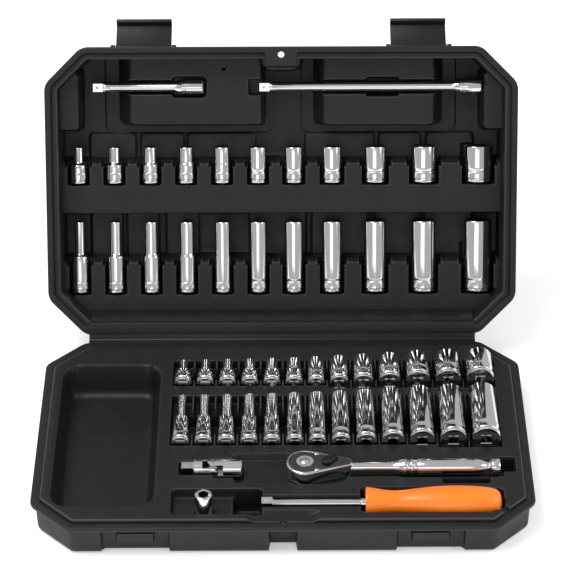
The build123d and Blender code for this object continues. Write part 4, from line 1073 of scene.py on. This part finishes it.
def makeRatchet():
    place = shifted(base["headX"], base["ratchetY"], tool["ratchetZ"])
    low, high, inset = tool["headLow"], tool["headHigh"], tool["coverInset"]
    head = stacked(teardropLoop, [(1.4, low), (0.7, low + 0.12), (0.2, low + 0.5), (0.0, low + 1.1),
                                  (0.0, high - 1.3), (0.08, high - 0.8), (0.3, high - 0.36), (0.7, high - 0.08),
                                  (1.1, high), (inset - 0.25, high - 0.02), (inset - 0.1, high - 0.3),
                                  (inset, high - 0.45), (inset, low + 2.4)])
    h, start, end = tool["handle"], tool["handleStart"], tool["handleEnd"]
    rows = [(22.5, 0, 0), (22.5, 3.2, 0), (40, 3.3, 0), (start - 8, 3.35, 0), (start - 6, 3.55, 0),
            (start - 3, 4.3, 0), (start - 1, 4.9, 0), (start - 0.4, 5.15, 0), (start, h, 0)]
    for at in (start + 2, start + 6.4):
        rows += [(at - 0.25, h, 0), (at, h - 0.1, 0), (at + 0.35, h - 0.8, 0), (at + 2.1, h - 0.8, 0),
                 (at + 2.45, h - 0.1, 0), (at + 2.7, h, 0)]
    rows += [(82, h, 0), (96, h, 0), (109, h, 0), (111, h - 0.15, 0), (114, h - 0.7, 0), (116, h - 1.4, 0),
             (117.2, h - 2.0, 0), (118.4, h - 2.2, 0), (119.6, h - 1.9, 0), (120.4, h - 0.8, 0),
             (121.3, h - 0.35, 0), (122.6, h - 0.15, 0), (end - 1.2, h - 0.2, 0), (end - 0.4, h - 0.6, 0),
             (end - 0.05, h - 1.3, 0), (end, h - 2.2, 0), (end, 0, 0)]
    handle = turnedPiece(rows, 96)
    handle = (inPlace(handle[0], shifted(turn=-90)), handle[1])
    points, faces = together([head, handle])
    makePiece("ratchetChrome", points, faces, "ratchet", "chrome", ("ratchet_body",), "polished_chrome", place, 30)
    points, faces = pierced(teardropLoop, [(inset + 0.05, high - 0.8), (inset + 0.05, high - 0.25),
                                           (inset + 0.2, high - 0.06), (inset + 0.5, high), (inset + 1.0, high)],
                            [(tool["hub"] + 0.3, high), (tool["hub"] + 0.1, high - 0.15),
                             (tool["hub"] + 0.1, high - 0.8)])
    makePiece("ratchetCoverPlate", points, faces, "ratchet", "satin", ("ratchet_cover",), "satin_chrome", place, 30)
    screws = []
    for side in (-1, 1):
        rows = [(high - 0.5, 0, 0), (high - 0.5, 1.75, 0), (high, 1.75, 0), (high + 0.25, 1.68, 0),
                (high + 0.5, 1.4, 0), (high + 0.62, 1.05, 0), (high + 0.62, 0.86, 6), (high + 0.1, 0.8, 6),
                (high + 0.1, 0, 0)]
        points, faces = turnedPiece(rows, 48)
        spot = place @ shifted(tool["screwX"], side * tool["screwY"]) @ shifted(turn=90, axis="X")
        screws.append((inPlace(points, spot), faces))
    points, faces = together(screws)
    makePiece("coverScrewHeads", points, faces, "ratchet", "steel", ("ratchet_cover_screws",), "spring_steel",
              sharp=30)
    r = tool["button"]
    rows = [(high - 3.0, 0, 0), (high - 3.0, r - 0.1, 0), (high + 0.4, r - 0.1, 0), (high + 0.75, r - 0.25, 0),
            (high + 1.1, r - 0.75, 0), (high + 1.45, r - 1.6, 0), (high + 1.65, r - 2.5, 0), (high + 1.7, 0, 0)]
    points, faces = turnedPiece(rows, 72)
    makePiece("ratchetButton", points, faces, "ratchet_button", "chrome", ("ratchet_release_button",),
              "polished_chrome", place @ shifted(turn=90, axis="X"), 30)
    lever = stacked(leverLoop, [(0.5, high + 0.15), (0.1, high + 0.3), (0.0, high + 0.6), (0.0, high + 1.5),
                                (0.12, high + 1.85), (0.45, high + 2.15), (0.9, high + 2.25)])
    spot = place @ shifted(tool["selectorX"], 0) @ shifted(turn=tool["selectorTurn"])
    makePiece("selectorLever", *lever, "ratchet_selector", "lever", ("ratchet_selector",), "black_plastic",
              spot, 30)
    print("ratchet made")


def makeSpinner():
    g = tool["gripStart"]
    place = shifted(tool["spinnerTip"], base["spinnerY"], tool["spinnerZ"], turn=-90)
    line = smoothLine(gripLine, 5)
    rows = [(g, 0, 0), (g, 9.0, 0), (g + 0.15, 9.7, 0), (g + 0.55, 10.2, 0)] + [(g + y, r, 0) for y, r in line]
    rows += [(g + 87.35, 2.4, 0), (g + 87.4, 0, 0)]
    points, faces = turnedPiece(rows, 96)
    makePiece("spinnerHandle", points, faces, "spinner", "orange", ("spinner_grip",), "grip_plastic", place, 30)
    s = tool["spinnerShaft"]
    rows = postRows() + [(tool["postLength"], s + 0.3, 0), (8.4, s, 0), (30, s, 0), (g - 3.4, s, 0),
                         (g - 3.0, s + 0.5, 0), (g - 1.2, s + 0.7, 0), (g + 2, s + 0.7, 0), (g + 2, 0, 0)]
    points, faces = turnedPiece(rows, 96)
    makePiece("spinnerShaftChrome", points, faces, "spinner", "chrome", ("spinner_shaft",), "polished_chrome",
              place, 30)
    x, y = base["adapter"]
    r = 5.75
    rows = [(0.3, 3.35, 4), (0, 3.8, 4), (0, r - 0.7, 0), (0.3, r - 0.2, 0), (0.7, r, 0), (2.1, r, 0),
            (2.4, r - 0.4, 0), (3.4, r - 0.4, 0), (3.7, r, 0), (24.4, r, 0), (25.0, r - 0.25, 0), (25.4, r - 0.8, 0),
            (25.5, r - 1.4, 0), (25.5, 3.75, 6), (25.1, 3.3, 6), (12.5, 3.3, 6), (12.5, 2.65, 0), (8.5, 2.65, 0),
            (8.0, 3.3, 4)]
    points, faces = turnedPiece(rows, 96)
    place = shifted(x, y, 9.0, turn=90, axis="X")
    makePiece("adapterChrome", points, faces, "bit_adapter", "chrome", ("bit_adapter",), "polished_chrome",
              place, 30)
    print("spinner and adapter made")


# ---- size numbers raised on the trays ----
labels = {"size": 4.6, "wide": 1.25, "rise": 0.4, "metricDeep": -24.6, "metricShallow": 42.2, "inchDeep": 21.0,
          "inchShallow": 98.0}


def raisedText(text, size):
    curve = bpy.data.curves.new("label", "FONT")
    curve.body, curve.size, curve.align_x, curve.align_y = text, size, "CENTER", "CENTER"
    curve.extrude, curve.resolution_u = labels["rise"], 3
    holder = bpy.data.objects.new("label", curve)
    scene.collection.objects.link(holder)
    bpy.context.view_layer.update()
    mesh = bpy.data.meshes.new_from_object(holder.evaluated_get(bpy.context.evaluated_depsgraph_get()))
    work = bmesh.new()
    work.from_mesh(mesh)
    bmesh.ops.remove_doubles(work, verts=work.verts, dist=1e-5)
    points = np.array([vertex.co[:] for vertex in work.verts]) * [labels["wide"], 1, 1]
    faces = [[vertex.index for vertex in face.verts] for face in work.faces]
    work.free()
    bpy.data.objects.remove(holder)
    return points, faces


def makeLabels():
    rowsOf = (("baseNumbers", metricRow, metricX, "base"), ("lidNumbers", inchRow, inchX, "lid"))
    for name, row, places, body in rowsOf:
        parts = []
        for kind in ("Shallow", "Deep"):
            for (label, *_), x in zip(row["sizes"], places):
                points, faces = raisedText(label, labels["size"])
                if body == "base":
                    points = points + [x, labels["metric" + kind], case["deck"] - 0.02]
                else:
                    points = inPlace(points + [x, labels["inch" + kind], -lid["ledge"] - 0.02], lidPlace)
                parts.append((points, faces))
        points, faces = together(parts)
        # the raised numbers get a flat painted highlight, paler than the tray
        makePiece(name, points, faces, body, "tray", (), "tray_plastic", paintedLightAndShade=np.full(len(points), 0.3))
    print("numbers made")


# ---- CAD parts that stay as they are ----
keptParts = {
    "chrome": ["ujoint_drive_yoke", "ujoint_socket_yoke", "ujoint_cross", "ratchet_drive_gear"],
    "steel": ["ujoint_pins", "ujoint_ball", "ratchet_drive_ball", "ratchet_pawl",
              "spinner_ball", "extension_short_ball", "extension_long_ball", "bit_adapter_magnet", "latch_pins"],
}


def finishKept():
    for material, names in keptParts.items():
        for name in names:
            part = frame["nodes"][name]
            part.data.materials.clear()
            part.data.materials.append(materials[material])


makeCase()
makeLatches()
makeSockets()
makeExtensions()
makeRatchet()
makeSpinner()
makeLabels()
finishKept()

# ---- camera, light and floor ----
view = {"lens": 163.99, "distance": 1672.7, "elevation": 34.98, "azimuth": -0.201, "roll": -0.107,
        "target": (3.74, 0.0, 138.7)}


def makeCamera():
    e, a, r = (math.radians(view[key]) for key in ("elevation", "azimuth", "roll"))
    back = Vector((math.sin(a) * math.cos(e), -math.cos(a) * math.cos(e), math.sin(e)))
    right = (-back).cross(Vector((0, 0, 1))).normalized()
    up = right.cross(-back)
    right, up = right * math.cos(r) + up * math.sin(r), up * math.cos(r) - right * math.sin(r)
    place = Matrix.Identity(4)
    for column, way in enumerate((right, up, back)):
        for row in range(3):
            place[row][column] = way[row]
    place.translation = (Vector(view["target"]) + back * view["distance"]) * metres
    data = bpy.data.cameras.new("camera")
    data.lens, data.sensor_width, data.clip_end = view["lens"], 36.0, 20.0
    camera = bpy.data.objects.new("camera", data)
    camera.matrix_world = place
    scene.collection.objects.link(camera)
    scene.camera = camera


def areaLight(name, at, aim, size, power, colour=(1, 1, 1)):
    data = bpy.data.lights.new(name, "AREA")
    data.shape, data.size, data.size_y, data.energy, data.color = "RECTANGLE", size[0], size[1], power, colour
    light = bpy.data.objects.new(name, data)
    light.location = Vector(at)
    light.rotation_euler = (Vector(aim) - Vector(at)).to_track_quat("-Z", "Y").to_euler()
    scene.collection.objects.link(light)


studio = {"world": 0.58, "key": 18.0, "side": 6.0, "front": 2.5, "floor": (0.95, 0.95, 0.95), "glow": 0.35}


def makeStudio():
    world = bpy.data.worlds.new("studio")
    world.use_nodes = True
    background = world.node_tree.nodes["Background"]
    background.inputs["Color"].default_value = (1, 1, 1, 1)
    background.inputs["Strength"].default_value = studio["world"]
    scene.world = world
    areaLight("key", (-0.6, -0.15, 1.5), (0, 0, 0.05), (1.0, 0.7), studio["key"])
    areaLight("side", (1.3, -0.3, 0.9), (0, 0, 0.05), (0.8, 0.8), studio["side"])
    areaLight("front", (-0.2, -1.6, 0.8), (0, 0, 0.1), (1.2, 0.6), studio["front"])
    look = Shader("studioFloor")
    cloud = look.noise(3.0, 2.0)
    low = tuple(channel * 0.985 for channel in studio["floor"])
    look.tint(cloud, (0.3, low), (0.7, studio["floor"]))
    look.rough(cloud, 0.6, 0.7)
    look.put(Emission_Color=(1, 1, 1, 1), Emission_Strength=studio["glow"])
    mesh = bpy.data.meshes.new("floor")
    reach = 6.0
    mesh.from_pydata([(-reach, -reach, -0.0003), (reach, -reach, -0.0003), (reach, reach, -0.0003),
                      (-reach, reach, -0.0003)], [], [(0, 1, 2, 3)])
    mesh.materials.append(look.material)
    floor = bpy.data.objects.new("floor", mesh)
    scene.collection.objects.link(floor)
    scene.view_settings.view_transform = "Standard"


makeCamera()
makeStudio()
print("camera, light and floor made")
